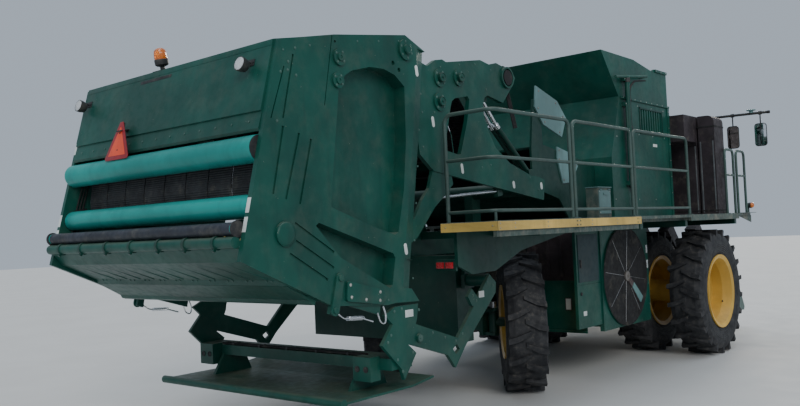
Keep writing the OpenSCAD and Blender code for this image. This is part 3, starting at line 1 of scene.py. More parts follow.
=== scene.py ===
"""Cotton harvester: finishes, soft parts, small fittings, floor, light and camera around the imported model.

Lengths are metres in the row frame: -Y is the driving direction, +X the machine's left side, +Z up.
Places along the machine are given from the front axle, as in the part's source.
"""
import math

import bmesh
import bpy
from mathutils import Matrix, Vector


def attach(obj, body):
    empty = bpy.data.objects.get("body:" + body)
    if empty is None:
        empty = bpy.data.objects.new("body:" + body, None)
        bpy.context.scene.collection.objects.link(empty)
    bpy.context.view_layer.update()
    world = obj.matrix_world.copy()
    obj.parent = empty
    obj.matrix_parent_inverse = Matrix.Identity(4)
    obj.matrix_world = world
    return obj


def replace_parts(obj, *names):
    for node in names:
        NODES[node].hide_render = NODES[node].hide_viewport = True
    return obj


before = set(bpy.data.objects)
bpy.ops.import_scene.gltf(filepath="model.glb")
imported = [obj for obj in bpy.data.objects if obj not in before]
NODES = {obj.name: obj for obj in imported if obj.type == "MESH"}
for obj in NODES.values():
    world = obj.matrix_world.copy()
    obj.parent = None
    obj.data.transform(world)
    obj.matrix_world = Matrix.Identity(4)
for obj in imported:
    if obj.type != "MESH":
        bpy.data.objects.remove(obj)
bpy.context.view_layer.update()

# Driving sizes, as in the part's source
FRONT_AXLE_Y = -2.875
FRONT_AXLE_Z = 0.95
FRONT_RIM_R = 0.56
DUAL_X = (1.0, 1.93)
REAR_AXLE_Y = 4.1
REAR_AXLE_Z = 0.87
REAR_RIM_R = 0.465
KINGPIN_X = 0.7
REAR_WHEEL_OFFSET = 0.345
STEER_ANGLE = math.radians(38)
CHAMBER_TILT = math.radians(9.9)
CHAMBER_Y = 6.28
CHAMBER_Z = 3.9
GATE_HALF_W = 1.54
GATE_INNER = 1.49
FIXED_HALF_W = 1.47
HANDLER_X = 1.52
DECK_Z = 2.14
DECK_HALF_W = 2.2
PLATFORM_IN_X = 1.5
PLATFORM_REAR_Y = 6.16
ACC_HALF_W = 1.5
CAB_HALF_W = 0.85
HOUSING_X = 1.5
SCREEN_Y = 1.93
SCREEN_Z = 1.31
SCREEN_R = 0.67
SCREEN_ARM = 222
MIRROR_X = (2.0, 2.45)
MIRROR_Y = -1.5
MIRROR_BAR_Z = 3.8
LIFT_PIPE_Y = 1.65
SEAT_Y = -1.05


def at(x, y, z):
    """A place with y counted rearwards from the front axle."""
    return Vector((x, y + FRONT_AXLE_Y, z))


def chamber(x, u, v):
    """A place in the tilted chamber's own frame: u rearwards, v up, from its reference corner."""
    cos, sin = math.cos(CHAMBER_TILT), math.sin(CHAMBER_TILT)
    return at(x, CHAMBER_Y + u * cos + v * sin, CHAMBER_Z - u * sin + v * cos)


def chamber_dir(u, v):
    return (chamber(0, u, v) - chamber(0, 0, 0)).normalized()


def at_row(x, *places):
    """Places with the same x, each given as rearwards, up."""
    return [at(x, y, z) for y, z in places]


def chamber_row(x, *places):
    """Places in the chamber's frame with the same x, each given as rearwards, up."""
    return [chamber(x, u, v) for u, v in places]


def circle(n, r, phase=0.0):
    """n pairs round a circle of radius r, turned by phase steps."""
    angles = [2 * math.pi * (i + phase) / n for i in range(n)]
    return [(r * math.cos(a), r * math.sin(a)) for a in angles]


def spoke(angle):
    """The way out from a shaft along X."""
    return Vector((0, math.cos(angle), math.sin(angle)))


LEFT = Vector((1, 0, 0))
REARWARD = Vector((0, 1, 0))
UP = Vector((0, 0, 1))
# Name of each side, its sign on X, and the way out of it
SIDES = (("right", -1, -LEFT), ("left", 1, LEFT))
# The chamber's own directions, and those of the gate's upper rear panel
CHAMBER_AXES = (LEFT, chamber_dir(1, 0), chamber_dir(0, 1))
PANEL_OUT = chamber_dir(0.906, 0.423)
PANEL_DOWN = chamber_dir(0.423, -0.906)


# Camera

PHOTO_WIDTH_PX = 800
FOCAL_PX = 818.99


def make_camera():
    """The photograph's own view, fitted to places that can be measured in it."""
    data = bpy.data.cameras.new("photo_camera")
    data.sensor_width = 36
    data.lens = data.sensor_width * FOCAL_PX / PHOTO_WIDTH_PX
    data.clip_end = 200
    cam = bpy.data.objects.new("photo_camera", data)
    right = Vector((-0.7612, -0.647, -0.0439))
    up = Vector((-0.0568, -0.0009, 0.9984))
    back = Vector((-0.646, 0.7625, -0.036))
    turn = Matrix((right, up, back)).transposed().to_4x4()
    cam.matrix_world = Matrix.Translation(at(-6.636, 12.854, 2.064)) @ turn
    bpy.context.scene.collection.objects.link(cam)
    bpy.context.scene.camera = cam


make_camera()


# Material building


class Shader:
    """A material with a Principled shader, and short calls for the nodes that feed it."""

    def __init__(self, name, **sockets):
        self.mat = bpy.data.materials.new(name)
        self.mat.use_nodes = True
        self.tree = self.mat.node_tree
        self.tree.nodes.clear()
        self.out = self.tree.nodes.new("ShaderNodeOutputMaterial")
        self.bsdf = self.tree.nodes.new("ShaderNodeBsdfPrincipled")
        self.tree.links.new(self.bsdf.outputs[0], self.out.inputs[0])
        self.coords = self.tree.nodes.new("ShaderNodeTexCoord").outputs["Object"]
        for key, value in sockets.items():
            self.bsdf.inputs[key.replace("_", " ")].default_value = value

    def node(self, kind, inputs=(), **settings):
        n = self.tree.nodes.new(kind)
        for key, value in settings.items():
            setattr(n, key, value)
        for key, value in dict(inputs).items():
            self.feed(n.inputs[key], value)
        return n

    def feed(self, socket, value):
        if isinstance(value, bpy.types.NodeSocket):
            self.tree.links.new(value, socket)
        else:
            socket.default_value = value

    def place(self, scale=(1, 1, 1), location=(0, 0, 0), rotation=(0, 0, 0)):
        """The place on the object, moved, turned and scaled."""
        n = self.node("ShaderNodeMapping", {"Vector": self.coords, "Scale": scale, "Location": location,
                "Rotation": rotation})
        return n.outputs[0]

    def noise(self, scale, detail=4.0, rough=0.55, stretch=(1, 1, 1)):
        vector = self.coords if stretch == (1, 1, 1) else self.place(scale=stretch)
        n = self.node("ShaderNodeTexNoise", {"Vector": vector, "Scale": scale, "Detail": detail,
                "Roughness": rough})
        return n.outputs[0]

    def voronoi(self, scale):
        return self.node("ShaderNodeTexVoronoi", {"Vector": self.coords, "Scale": scale}).outputs["Distance"]

    def math(self, op, a, b=0.0):
        n = self.node("ShaderNodeMath", operation=op)
        self.feed(n.inputs[0], a)
        self.feed(n.inputs[1], b)
        return n.outputs[0]

    def ramp(self, value, low, high, a=0.0, b=1.0):
        """value from low..high turned smoothly into a..b."""
        n = self.node("ShaderNodeMapRange", {"Value": value, "From Min": low, "From Max": high, "To Min": a,
                "To Max": b}, interpolation_type="SMOOTHSTEP")
        return n.outputs[0]

    def cloud(self, scale, detail, low, high, a=0.0, b=1.0, rough=0.55, stretch=(1, 1, 1)):
        """Noise from low..high turned into a..b."""
        return self.ramp(self.noise(scale, detail, rough, stretch), low, high, a, b)

    def times(self, a, b):
        return self.math("MULTIPLY", a, b)

    def wave(self, value, k):
        return self.math("SINE", self.times(value, k))

    def length(self, a, b):
        return self.math("SQRT", self.math("ADD", self.times(a, a), self.times(b, b)))

    def tones(self, base, dark, light, scale, detail=5, low=0.35, high=0.65, stretch=(1, 1, 1)):
        """The base colour from dark to light times itself, in soft patches."""
        patches = self.cloud(scale, detail, low, high, stretch=stretch)
        return self.mix(patches, shade(base, dark), shade(base, light))

    def dusty(self, tone, scale, low, high, most):
        return self.mix(self.cloud(scale, 6, low, high, 0, most, rough=0.7), tone, DUST)

    def worn(self, scale, detail, smooth, dull):
        """Roughness in patches from smooth to dull."""
        self.roughness(self.cloud(scale, detail, 0.3, 0.7, smooth, dull))

    def mix(self, factor, a, b):
        n = self.node("ShaderNodeMix", data_type="RGBA")
        self.feed(n.inputs[0], factor)
        self.feed(n.inputs[6], colour(a) if isinstance(a, tuple) else a)
        self.feed(n.inputs[7], colour(b) if isinstance(b, tuple) else b)
        return n.outputs[2]

    def facing(self, axis):
        """How far the surface's normal points along an axis, 0 = X, 1 = Y, 2 = Z."""
        n = self.node("ShaderNodeNewGeometry")
        s = self.node("ShaderNodeSeparateXYZ", {0: n.outputs["Normal"]})
        return s.outputs[axis]

    def part(self, axis, vector=None):
        """One coordinate of the place."""
        return self.node("ShaderNodeSeparateXYZ", {0: vector or self.coords}).outputs[axis]

    def colour(self, socket):
        self.tree.links.new(socket, self.bsdf.inputs["Base Color"])

    def roughness(self, socket):
        self.tree.links.new(socket, self.bsdf.inputs["Roughness"])

    def bump(self, height, distance, strength=1.0):
        n = self.node("ShaderNodeBump", {"Height": height, "Distance": distance, "Strength": strength})
        held = self.bsdf.inputs["Normal"]
        if held.links:
            self.tree.links.new(held.links[0].from_socket, n.inputs["Normal"])
        self.tree.links.new(n.outputs[0], held)


def colour(rgb):
    return rgb if len(rgb) == 4 else (*rgb, 1.0)


def shade(rgb, k):
    return tuple(min(1.0, c * k) for c in rgb)


DUST = (0.3, 0.27, 0.21)


def paint(name, base, gloss=0.38, dust=0.3, specks=False):
    """Sprayed machine paint: faded patches, run-off streaks, dust on what faces up, small pale specks."""
    s = Shader(name, Specular_IOR_Level=0.32, Coat_Weight=0.08, Coat_Roughness=0.3)
    streak = s.cloud(9, 4, 0.48, 0.75, 0, 0.35, stretch=(1, 1, 0.07))
    tone = s.mix(streak, s.tones(base, 0.78, 1.18, 1.3), shade(base, 0.55))
    film = s.cloud(5, 6, 0.42, 0.8, 0, 0.28 * dust, rough=0.65)
    top = s.times(s.ramp(s.facing(2), 0.35, 0.95), s.cloud(3.5, 6, 0.25, 0.7, 0.25, 1, rough=0.7))
    grime = s.math("MAXIMUM", film, s.times(top, dust))
    tone = s.mix(grime, tone, DUST)
    if specks:
        dots = s.times(s.ramp(s.voronoi(17), 0.045, 0.03), s.cloud(7, 2, 0.5, 0.56))
        tone = s.mix(dots, tone, (0.42, 0.42, 0.34))
    s.colour(tone)
    s.roughness(s.ramp(s.math("ADD", s.noise(14, 5), s.times(grime, 1.2)), 0.3, 1.3, gloss, 0.8))
    s.bump(s.noise(140, 2), 0.0006, 0.5)
    s.bump(s.noise(2.2, 2), 0.006, 0.35)
    return s.mat


def metal(name, base, rough=0.3, brushed=(1, 1, 1), rust=0.0):
    """Bare or plated steel; brushed stretches its grain, rust is the share that has turned brown."""
    s = Shader(name, Metallic=1.0)
    tone = s.tones(base, 0.75, 1.15, 30, 4, 0.3, 0.7, brushed)
    if rust:
        tone = s.mix(s.cloud(11, 6, 0.72 - 0.3 * rust, 0.8, rough=0.7), tone, (0.16, 0.07, 0.03))
    s.colour(tone)
    s.roughness(s.cloud(45, 4, 0.25, 0.8, rough, rough + 0.25, stretch=brushed))
    s.bump(s.noise(220, 2, stretch=brushed), 0.0004, 0.4)
    return s.mat


def mirror_face():
    """Silvered glass with a thin film of dust."""
    s = Shader("mirror_face", Metallic=1.0)
    film = s.cloud(12, 4, 0.45, 0.8, 0, 0.3)
    s.colour(s.mix(film, (0.8, 0.82, 0.84), (0.45, 0.44, 0.4)))
    s.roughness(s.ramp(film, 0, 0.3, 0.02, 0.22))
    return s.mat


def plastic(name, base, rough=0.5):
    """Moulded plastic with a fine grain and dust."""
    s = Shader(name, Specular_IOR_Level=0.45)
    s.colour(s.dusty(s.tones(base, 0.8, 1.25, 3, 4), 6, 0.45, 0.85, 0.35))
    s.worn(20, 4, rough, rough + 0.2)
    s.bump(s.noise(260, 2), 0.0005, 0.6)
    return s.mat


def tyre_rubber(name, centre, turn, rim_r, outer_r):
    """Black rubber with moulded rings on the side walls, and dry earth on the tread."""
    s = Shader(name, Specular_IOR_Level=0.35)
    c = Vector(centre)
    c.rotate(Matrix.Rotation(-turn, 3, "Z"))
    local = s.place(rotation=(0, 0, -turn), location=tuple(-c))
    r = s.length(s.part(1, local), s.part(2, local))
    wall = s.times(s.ramp(r, rim_r, rim_r + 0.03), s.ramp(r, outer_r - 0.2, outer_r - 0.22))
    tone = s.mix(s.cloud(8, 5, 0.3, 0.7), (0.016, 0.017, 0.02), (0.04, 0.041, 0.044))
    mud = s.times(s.ramp(r, outer_r - 0.14, outer_r - 0.04, 0.15, 1), s.cloud(16, 6, 0.5, 0.8, rough=0.7))
    s.colour(s.mix(s.times(mud, 0.45), tone, (0.17, 0.15, 0.12)))
    s.worn(25, 4, 0.62, 0.85)
    s.bump(s.times(s.wave(r, 210), wall), 0.0035, 0.8)
    s.bump(s.noise(90, 4), 0.0015, 0.6)
    return s.mat


def perforated(name, base, pitch, open_r):
    """Sheet with rows of small round holes, seen as dark dots."""
    s = Shader(name, Specular_IOR_Level=0.4)
    dy, dz = (s.math("SUBTRACT", s.math("FRACT", s.times(s.part(axis), 1 / pitch)), 0.5) for axis in (1, 2))
    hole = s.ramp(s.length(dy, dz), open_r + 0.06, open_r)
    s.colour(s.mix(hole, s.tones(base, 0.7, 1.3, 4), (0.006, 0.006, 0.007)))
    s.worn(20, 3, 0.6, 0.8)
    s.bump(s.math("SUBTRACT", 1.0, hole), 0.002, 0.8)
    return s.mat


def tread_plate(name, base):
    """Pressed walkway plate: short raised bars that lie across each other."""
    s = Shader(name, Specular_IOR_Level=0.5)
    x, y = (s.times(s.part(axis), 16.0) for axis in (0, 1))
    bars = s.times(s.wave(s.math("ADD", x, y), math.pi), s.wave(s.math("SUBTRACT", x, y), math.pi * 3))
    s.colour(s.dusty(s.tones(base, 0.8, 1.2, 2), 6, 0.4, 0.8, 0.55))
    s.worn(20, 4, 0.5, 0.8)
    s.bump(s.ramp(bars, 0.45, 0.7), 0.003, 0.6)
    return s.mat


def rubber(name, base, rough=0.65, rib=0.0):
    """Dull rubber with dust in it; rib is the pitch of moulded ribs up its height, if it has any."""
    s = Shader(name, Specular_IOR_Level=0.4)
    s.colour(s.dusty(s.tones(base, 0.75, 1.4, 4), 7, 0.5, 0.85, 0.3))
    s.worn(20, 4, rough, rough + 0.2)
    if rib:
        s.bump(s.wave(s.part(2), 2 * math.pi / rib), 0.003, 0.7)
    s.bump(s.noise(120, 3), 0.0008, 0.6)
    return s.mat


def glass(name, tint):
    """Tinted pane, a little dusty in patches."""
    s = Shader(name, Transmission_Weight=0.92, IOR=1.45)
    s.colour(s.tones(tint, 0.85, 1.1, 2, 3, 0.3, 0.7))
    s.roughness(s.cloud(6, 5, 0.4, 0.8, 0.0, 0.05, rough=0.7))
    return s.mat


def lens(name, base, ribs, transmission=0.35):
    """Moulded lamp lens with fine upright ribs."""
    s = Shader(name, Transmission_Weight=transmission, Coat_Weight=0.6)
    s.colour(s.tones(base, 0.8, 1.15, 9, 3, 0.3, 0.7))
    s.worn(30, 3, 0.15, 0.3)
    s.bump(s.wave(s.part(0), 2 * math.pi / ribs), 0.0015, 0.7)
    return s.mat


def fabric(name, base):
    """Woven seat cloth."""
    s = Shader(name, Sheen_Weight=0.3, Sheen_Roughness=0.5, Specular_IOR_Level=0.25)
    weave = s.times(s.wave(s.part(0), 1900), s.wave(s.math("ADD", s.part(1), s.part(2)), 1900))
    tone = s.tones(base, 0.8, 1.3, 9, 4, 0.3, 0.7)
    s.colour(s.mix(s.ramp(weave, -0.2, 0.8), tone, shade(base, 1.6)))
    s.worn(40, 3, 0.8, 0.95)
    s.bump(weave, 0.0008, 0.7)
    return s.mat


GREEN = (0.002, 0.066, 0.048)
M = {
    "green": paint("paint_green", GREEN, specks=True),
    "green_dark": paint("paint_green_dark", shade(GREEN, 0.6), dust=0.2, specks=True),
    "roller": paint("paint_roller", (0.0, 0.27, 0.24), gloss=0.3, dust=0.05),
    "rim": paint("paint_rim", (0.62, 0.38, 0.07), gloss=0.42, dust=0.25),
    "stripe": paint("paint_stripe", (0.62, 0.43, 0.12), gloss=0.45, dust=0.15),
    "rail": paint("paint_rail", (0.045, 0.085, 0.075), gloss=0.4, dust=0.35),
    "deck": tread_plate("walkway_plate", (0.045, 0.075, 0.066)),
    "guard": paint("paint_guard", (0.13, 0.24, 0.24), gloss=0.35, dust=0.2),
    "rusty": paint("paint_rusty", (0.1, 0.045, 0.03), gloss=0.6, dust=0.4, specks=True),
    "steel": metal("steel_plain", (0.42, 0.43, 0.44), 0.32),
    "steel_rusty": metal("steel_rusty", (0.3, 0.28, 0.26), 0.5, rust=0.6),
    "chrome": metal("steel_chrome", (0.72, 0.74, 0.76), 0.12, brushed=(1, 0.1, 1)),
    "zinc": metal("steel_zinc", (0.5, 0.5, 0.46), 0.35, rust=0.1),
    "bolt": paint("bolt_painted", (0.05, 0.12, 0.1), gloss=0.35, dust=0.3),
    "roller_black": rubber("roller_black", (0.016, 0.02, 0.03), 0.35),
    "mirror": mirror_face(),
    "black": plastic("plastic_black", (0.018, 0.019, 0.021)),
    "duct": rubber("duct_black", (0.026, 0.02, 0.024), 0.5),
    "belt": rubber("belt_rubber", (0.02, 0.021, 0.024), 0.6, rib=0.02),
    # Lighter plastic of the duct seams: painted highlight on the ducts' edges
    "duct_seam_highlight": plastic("duct_seam_highlight", (0.1, 0.11, 0.12), 0.45),
    "seal": rubber("seal_rubber", (0.012, 0.012, 0.013)),
    "screen": perforated("screen_sheet", (0.11, 0.085, 0.085), 0.011, 0.24),
    "roof_mesh": plastic("roof_mesh", (0.03, 0.06, 0.055)),
    "glass": glass("cab_glass_tint", (0.42, 0.52, 0.54)),
    "lens_orange": lens("lens_orange", (0.95, 0.22, 0.01), 0.008),
    "lens_red": lens("lens_red", (0.5, 0.006, 0.012), 0.01, transmission=0.15),
    "lens_clear": lens("lens_clear", (0.72, 0.74, 0.76), 0.012, transmission=0.2),
    "triangle": paint("triangle_face", (0.95, 0.1, 0.04), gloss=0.45, dust=0.1),
    "triangle_edge": paint("triangle_edge", (0.34, 0.02, 0.03), gloss=0.3, dust=0.1),
    "seat": fabric("seat_cloth", (0.035, 0.035, 0.038)),
    "plate": paint("blank_plate", (0.62, 0.66, 0.64), gloss=0.3, dust=0.3),
    # Dark paint of the service panel: painted shade on the housing's upper part
    "panel_painted_shade": paint("panel_painted_shade", (0.01, 0.035, 0.04), gloss=0.4, dust=0.3, specks=True),
}


def tyre_materials():
    """One material for each node of tyres, centred on its wheel."""
    made = {}
    for side, s, out in SIDES:
        axle = at(0, 0, FRONT_AXLE_Z)
        made["front_tyres_" + side] = tyre_rubber("tyre_front_" + side, axle, 0, FRONT_RIM_R, 0.95)
        hub = at(s * KINGPIN_X, REAR_AXLE_Y, REAR_AXLE_Z)
        made["rear_tyre_" + side] = tyre_rubber("tyre_rear_" + side, hub, STEER_ANGLE, REAR_RIM_R, 0.87)
    return made


# Finish of each CAD node; * stands for right and left
FINISH = {
    "green": """engine_housing_* accumulator_wall_* accumulator_rear_wall accumulator_front_wall cab_roof
        header_frame row_units row_dividers chamber_wall_* gate_wall_* gate_skin gate_lower_panels
        module_handler""",
    "green_dark": """chassis_frame front_axle rear_axle knuckle_* cab_floor cab_walls cab_door
        chamber_crossbeams feeder handler_hangers lamp_brackets""",
    "steel_rusty": "engine_block",
    "deck": "main_deck platform_*",
    "rail": "handrails_* boarding_ladder",
    "steel": "steering_rod",
    "rim": "front_rims_* rear_rim_*",
    "screen": "rotary_screen",
    "duct": "air_ducts row_ducts",
    "belt": "chamber_belts gate_belts",
    "roof_mesh": "accumulator_roof",
    "glass": "cab_glass cab_door_glass",
    "seat": "cab_seat",
    "black": "mirrors",
    "guard": "guard_plates",
    "roller": "gate_rollers",
    "lens_orange": "gate_lamps",
    "lens_red": "rear_lamps",
}


def smooth(obj, angle=32):
    """Smooth shading with sharp edges kept where faces meet at more than angle degrees."""
    mesh = obj.data
    for p in mesh.polygons:
        p.use_smooth = True
    mod = obj.modifiers.new("smooth_by_angle", "EDGE_SPLIT")
    mod.split_angle = math.radians(angle)


def finish_nodes():
    """Give each CAD node its material."""
    table = tyre_materials()
    for key, nodes in FINISH.items():
        for node in nodes.split():
            for side, s, out in SIDES:
                table[node.replace("*", side)] = M[key]
    for name, obj in NODES.items():
        obj.data.materials.clear()
        obj.data.materials.append(table[name])


finish_nodes()


# Small parts in mesh code


BOLT_SCALE = 0.72


class Build:
    """Collects the faces of one piece; done makes its object and begins the next piece."""

    def __init__(self):
        self.bm = bmesh.new()

    def ring(self, centre, x, y, r, sides):
        return [self.bm.verts.new(centre + r * (math.cos(a) * x + math.sin(a) * y))
                for a in (2 * math.pi * i / sides for i in range(sides))]

    def row(self, places):
        return [self.bm.verts.new(p) for p in places]

    def bead(self, place, axis, r, w):
        """A low round bead about a tube of radius r, such as a weld."""
        self.lathe(place, axis, [(-1.6 * w, 0.9 * r), (-0.8 * w, r + 0.7 * w), (0, r + w),
                (0.8 * w, r + 0.7 * w), (1.6 * w, 0.9 * r)], 18)

    def band(self, place, size, height, stand):
        """A strap round a rectangular duct of the given size, standing out from its faces."""
        w, d = size
        for k in (-1, 1):
            self.box(place + Vector((k * w / 2, 0, 0)), (stand, d + 2 * stand, height), edge=0.002)
            self.box(place + Vector((0, k * d / 2, 0)), (w + 2 * stand, stand, height), edge=0.002)

    def skin(self, rings, closed=True, cap=True):
        """Faces between rings of the same length; caps close the first and the last."""
        for a, b in zip(rings, rings[1:]):
            n = len(a)
            for i in range(n if closed else n - 1):
                j = (i + 1) % n
                self.bm.faces.new((a[i], a[j], b[j], b[i]))
        if cap:
            self.bm.faces.new(rings[0][::-1])
            self.bm.faces.new(rings[-1])

    def lathe(self, origin, axis, profile, sides=24):
        """profile is (distance along the axis, radius), from one end to the other."""
        axis = axis.normalized()
        x, y = side_axes(axis)
        self.skin([self.ring(origin + h * axis, x, y, max(r, 1e-4), sides) for h, r in profile])

    def tube(self, points, r, sides=10, bend=0.0):
        """A round bar along points, its corners rounded over the length bend."""
        path = rounded(points, bend) if bend else points
        rings = []
        x = None
        for i, p in enumerate(path):
            a = path[max(i - 1, 0)]
            b = path[min(i + 1, len(path) - 1)]
            along = (b - a).normalized()
            if x is None:
                x = side_axes(along)[0]
            x = (x - along * x.dot(along)).normalized()
            rings.append(self.ring(p, x, along.cross(x), r, sides))
        self.skin(rings)

    def prism(self, outline, offset, edge=0.0):
        """A plate: outline is a list of places in one plane, offset its thickness. edge bevels its rims."""
        low = [self.bm.verts.new(p) for p in outline]
        high = [self.bm.verts.new(p + offset) for p in outline]
        n = len(low)
        made = [self.bm.faces.new(low[::-1]), self.bm.faces.new(high)]
        made += [self.bm.faces.new((low[i], low[(i + 1) % n], high[(i + 1) % n], high[i])) for i in range(n)]
        if edge:
            rims = list(dict.fromkeys(e for f in made for e in f.edges))
            bmesh.ops.bevel(self.bm, geom=rims, offset=edge, segments=2, profile=0.7, affect="EDGES",
                    clamp_overlap=True)

    def box(self, centre, size, axes=(LEFT, REARWARD, UP), edge=0.004):
        x, y, z = (a * s / 2 for a, s in zip(axes, size))
        self.prism([centre - x - y - z, centre + x - y - z, centre + x + y - z, centre - x + y - z], 2 * z,
                edge)

    def bolt(self, place, normal, r=0.011, h=0.009):
        """Hexagon head with a chamfered top, on its washer."""
        normal = normal.normalized()
        r, h = BOLT_SCALE * r, BOLT_SCALE * h
        x, y = side_axes(normal)
        self.lathe(place, normal, [(-0.002, 1.75 * r), (0.0025, 1.75 * r), (0.003, 1.65 * r)], 14)
        head = ((0.002, 1.1 * r), (0.75 * h, 1.1 * r), (h, 0.85 * r))
        self.skin([self.ring(place + k * normal, x, y, q, 6) for k, q in head])

    def bolts(self, places, normal, r=0.011, h=0.009):
        for place in places:
            self.bolt(place, normal, r, h)

    def rim(self, x, y0, z0, y1, z1, t, depth, edge):
        """Four bars of width t inside the rectangle y0..y1, z0..z1 at x."""
        for ya, za, yb, zb in ((y0, z0, y1, z0 + t), (y0, z1 - t, y1, z1), (y0, z0, y0 + t, z1),
                (y1 - t, z0, y1, z1)):
            self.box(at(x, (ya + yb) / 2, (za + zb) / 2), (depth, yb - ya, zb - za), edge=edge)

    def done(self, name, mat, body="machine", angle=32):
        """The piece as an object that rides on a body."""
        bmesh.ops.recalc_face_normals(self.bm, faces=self.bm.faces)
        mesh = bpy.data.meshes.new(name)
        self.bm.to_mesh(mesh)
        self.bm.free()
        self.bm = bmesh.new()
        mesh.materials.append(mat if isinstance(mat, bpy.types.Material) else M[mat])
        obj = bpy.data.objects.new(name, mesh)
        bpy.context.scene.collection.objects.link(obj)
        smooth(obj, angle)
        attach(obj, body)
        return obj


def side_axes(axis):
    x = axis.orthogonal().normalized()
    return x, axis.cross(x).normalized()


def rounded(points, bend, steps=5):
    path = [points[0]]
    for a, p, b in zip(points, points[1:], points[2:]):
        k = min(bend, 0.45 * (a - p).length, 0.45 * (b - p).length)
        s, e = p + (a - p).normalized() * k, p + (b - p).normalized() * k
        path += [s.lerp(p, t).lerp(p.lerp(e, t), t) for t in (i / steps for i in range(steps + 1))]
    return path + [points[-1]]


def spaced(a, b, pitch):
    """Places from a to b, ends included, about pitch apart."""
    n = max(1, round((b - a).length / pitch))
    return [a.lerp(b, i / n) for i in range(n + 1)]


# Gate: lamps, triangle, bolts and the fittings of its walls


def lamp(name, place, axis, r, depth, lens_mat, body):
    """Round lamp: black housing, clear or coloured lens with a rim."""
    b = Build()
    b.lathe(place - depth * axis, axis, [(0, 0.45 * r), (0.15 * depth, 0.8 * r), (0.6 * depth, 0.97 * r),
            (depth, r), (1.04 * depth, 0.97 * r), (depth, 0.92 * r)], 28)
    housing = b.done(name + "_housing", "black", body)
    b.lathe(place, axis, [(-0.02 * r, 0.9 * r), (0.06 * r, 0.88 * r), (0.14 * r, 0.6 * r),
            (0.18 * r, 0.02 * r)], 28)
    return housing, b.done(name + "_lens", lens_mat, body)


def gate_lamps():
    """Work lamps, beacon and triangle on the gate's upper rear panel."""
    rear, up = PANEL_OUT, CHAMBER_AXES[2]
    made = []
    b = Build()
    for name, x in (("work_lamp_right", -1.25), ("work_lamp_left", 1.4)):
        made += lamp(name, chamber(x, 2.175, -0.01) + 0.08 * rear, rear, 0.064, 0.085, "lens_clear", "gate")
        b.tube(chamber_row(x, (2.13, 0.02), (2.19, 0.055), (2.215, 0.02)), 0.009, bend=0.03)
        b.box(chamber(x, 2.12, 0.02), (0.1, 0.012, 0.06), (LEFT, rear, LEFT.cross(rear)))
        b.bolts([chamber(x + dx, 2.126, 0.023) for dx in (-0.035, 0.035)], rear, 0.008, 0.007)
        made.append(b.done(name + "_arm", "black", "gate"))
    foot = chamber(0.23, 1.96, 0.1855)
    b.lathe(foot, up, [(0, 0.045), (0.008, 0.045), (0.012, 0.024), (0.04, 0.024), (0.048, 0.052),
            (0.06, 0.066), (0.105, 0.068), (0.11, 0.064)], 32)
    b.box(foot + 0.004 * up, (0.2, 0.11, 0.006), CHAMBER_AXES)
    made.append(b.done("beacon_foot", "black", "gate"))
    b.lathe(foot, up, [(0.108, 0.06), (0.115, 0.064), (0.17, 0.062), (0.2, 0.054), (0.217, 0.034),
            (0.224, 0.004)], 40)
    made.append(b.done("beacon_lens", "lens_orange", "gate"))
    for piece in made + slow_triangle():
        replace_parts(piece, "gate_lamps")


def slow_triangle():
    """Blank slow-vehicle triangle: a dark border plate with the bright field on it."""
    down = (0.375, -0.927)
    out = chamber_dir(0.927, 0.375)

    def corner(x, y):
        return chamber(0.53 + x, 2.394 + y * down[0], -0.438 + y * down[1])

    border = [(-0.205, 0.15), (-0.19, 0.175), (0.19, 0.175), (0.205, 0.15), (0.025, -0.205), (-0.025, -0.205)]
    field = [(-0.15, 0.135), (0.15, 0.135), (0.008, -0.15), (-0.008, -0.15)]
    b = Build()
    b.prism([corner(*p) for p in border], 0.006 * out, 0.0015)
    edge = b.done("slow_triangle_border", "triangle_edge", "gate")
    b.prism([corner(*p) + 0.006 * out for p in field], 0.0018 * out, 0.0008)
    face = b.done("slow_triangle_field", "triangle", "gate")
    b.bolts([corner(0, y) + 0.007 * out for y in (0.08, -0.09)], out, 0.007, 0.006)
    b.box(chamber(0.53, 2.33, -0.33), (0.08, 0.1, 0.012), CHAMBER_AXES)
    b.box(corner(0, -0.05) - 0.012 * out, (0.06, 0.3, 0.012), (LEFT, -chamber_dir(*down), out))
    return [edge, face, b.done("slow_triangle_holder", "black", "gate")]


# Rollers of the gate and the green tube below them: rearwards, up, radius of the bearing
ROLLERS = ((2.386, -0.7, 0.075), (2.496, -1.158, 0.068), (2.754, -1.296, 0.045))
TUBE = (2.795, -1.398)
CLAMP_X = (-1.25, -0.85, -0.46, -0.03, 0.39, 0.84, 1.25)
# Round housings on the gate's wall: rearwards, up, bolt circle, how far its face stands out, bolts
GATE_HOUSINGS = ((0.382, 0.026, 0.082, 0.022, 6), (1.345, -0.01, 0.057, 0.022, 4),
        (1.41, -0.215, 0.053, 0.022, 4))
# Rows of bolts along the wall's edges: both ends and the pitch
GATE_EDGE_ROWS = (((2.0, 0.08), (1.36, 0.135), 0.3), ((1.36, 0.135), (0.46, 0.115), 0.28),
        ((0.24, -0.42), (0.8, -2.18), 0.34), ((1.2, -2.29), (1.86, -2.12), 0.22))
# Straight rear edge of the gate's wall: its upper end, and its run from there downwards
REAR_EDGE = (2.031, 0.172)
REAR_EDGE_RUN = (0.787, -1.721)
# Bolts of the slide guide beside the long slots
SLIDE_BOLTS = ((1.965, -0.02), (1.985, -0.09), (2.07, -0.1), (1.9, -0.14), (2.2, -0.5), (1.86, 0.09))
# Side and height of the blank plates on the rear edges
BLANK_PLATES = ((-1, -1.13), (-1, -1.275), (1, -0.42), (1, -0.66), (1, -1.13), (1, -1.275))


def label(b, s, x, u, v, half, r):
    """Blank label with round ends on a wall of the chamber or gate; half is half its straight length."""
    outline = link_outline((u, v - half), (u, v + half), r)
    b.prism(chamber_row(x + s * 0.0005, *outline), 0.002 * s * LEFT, 0.0008)


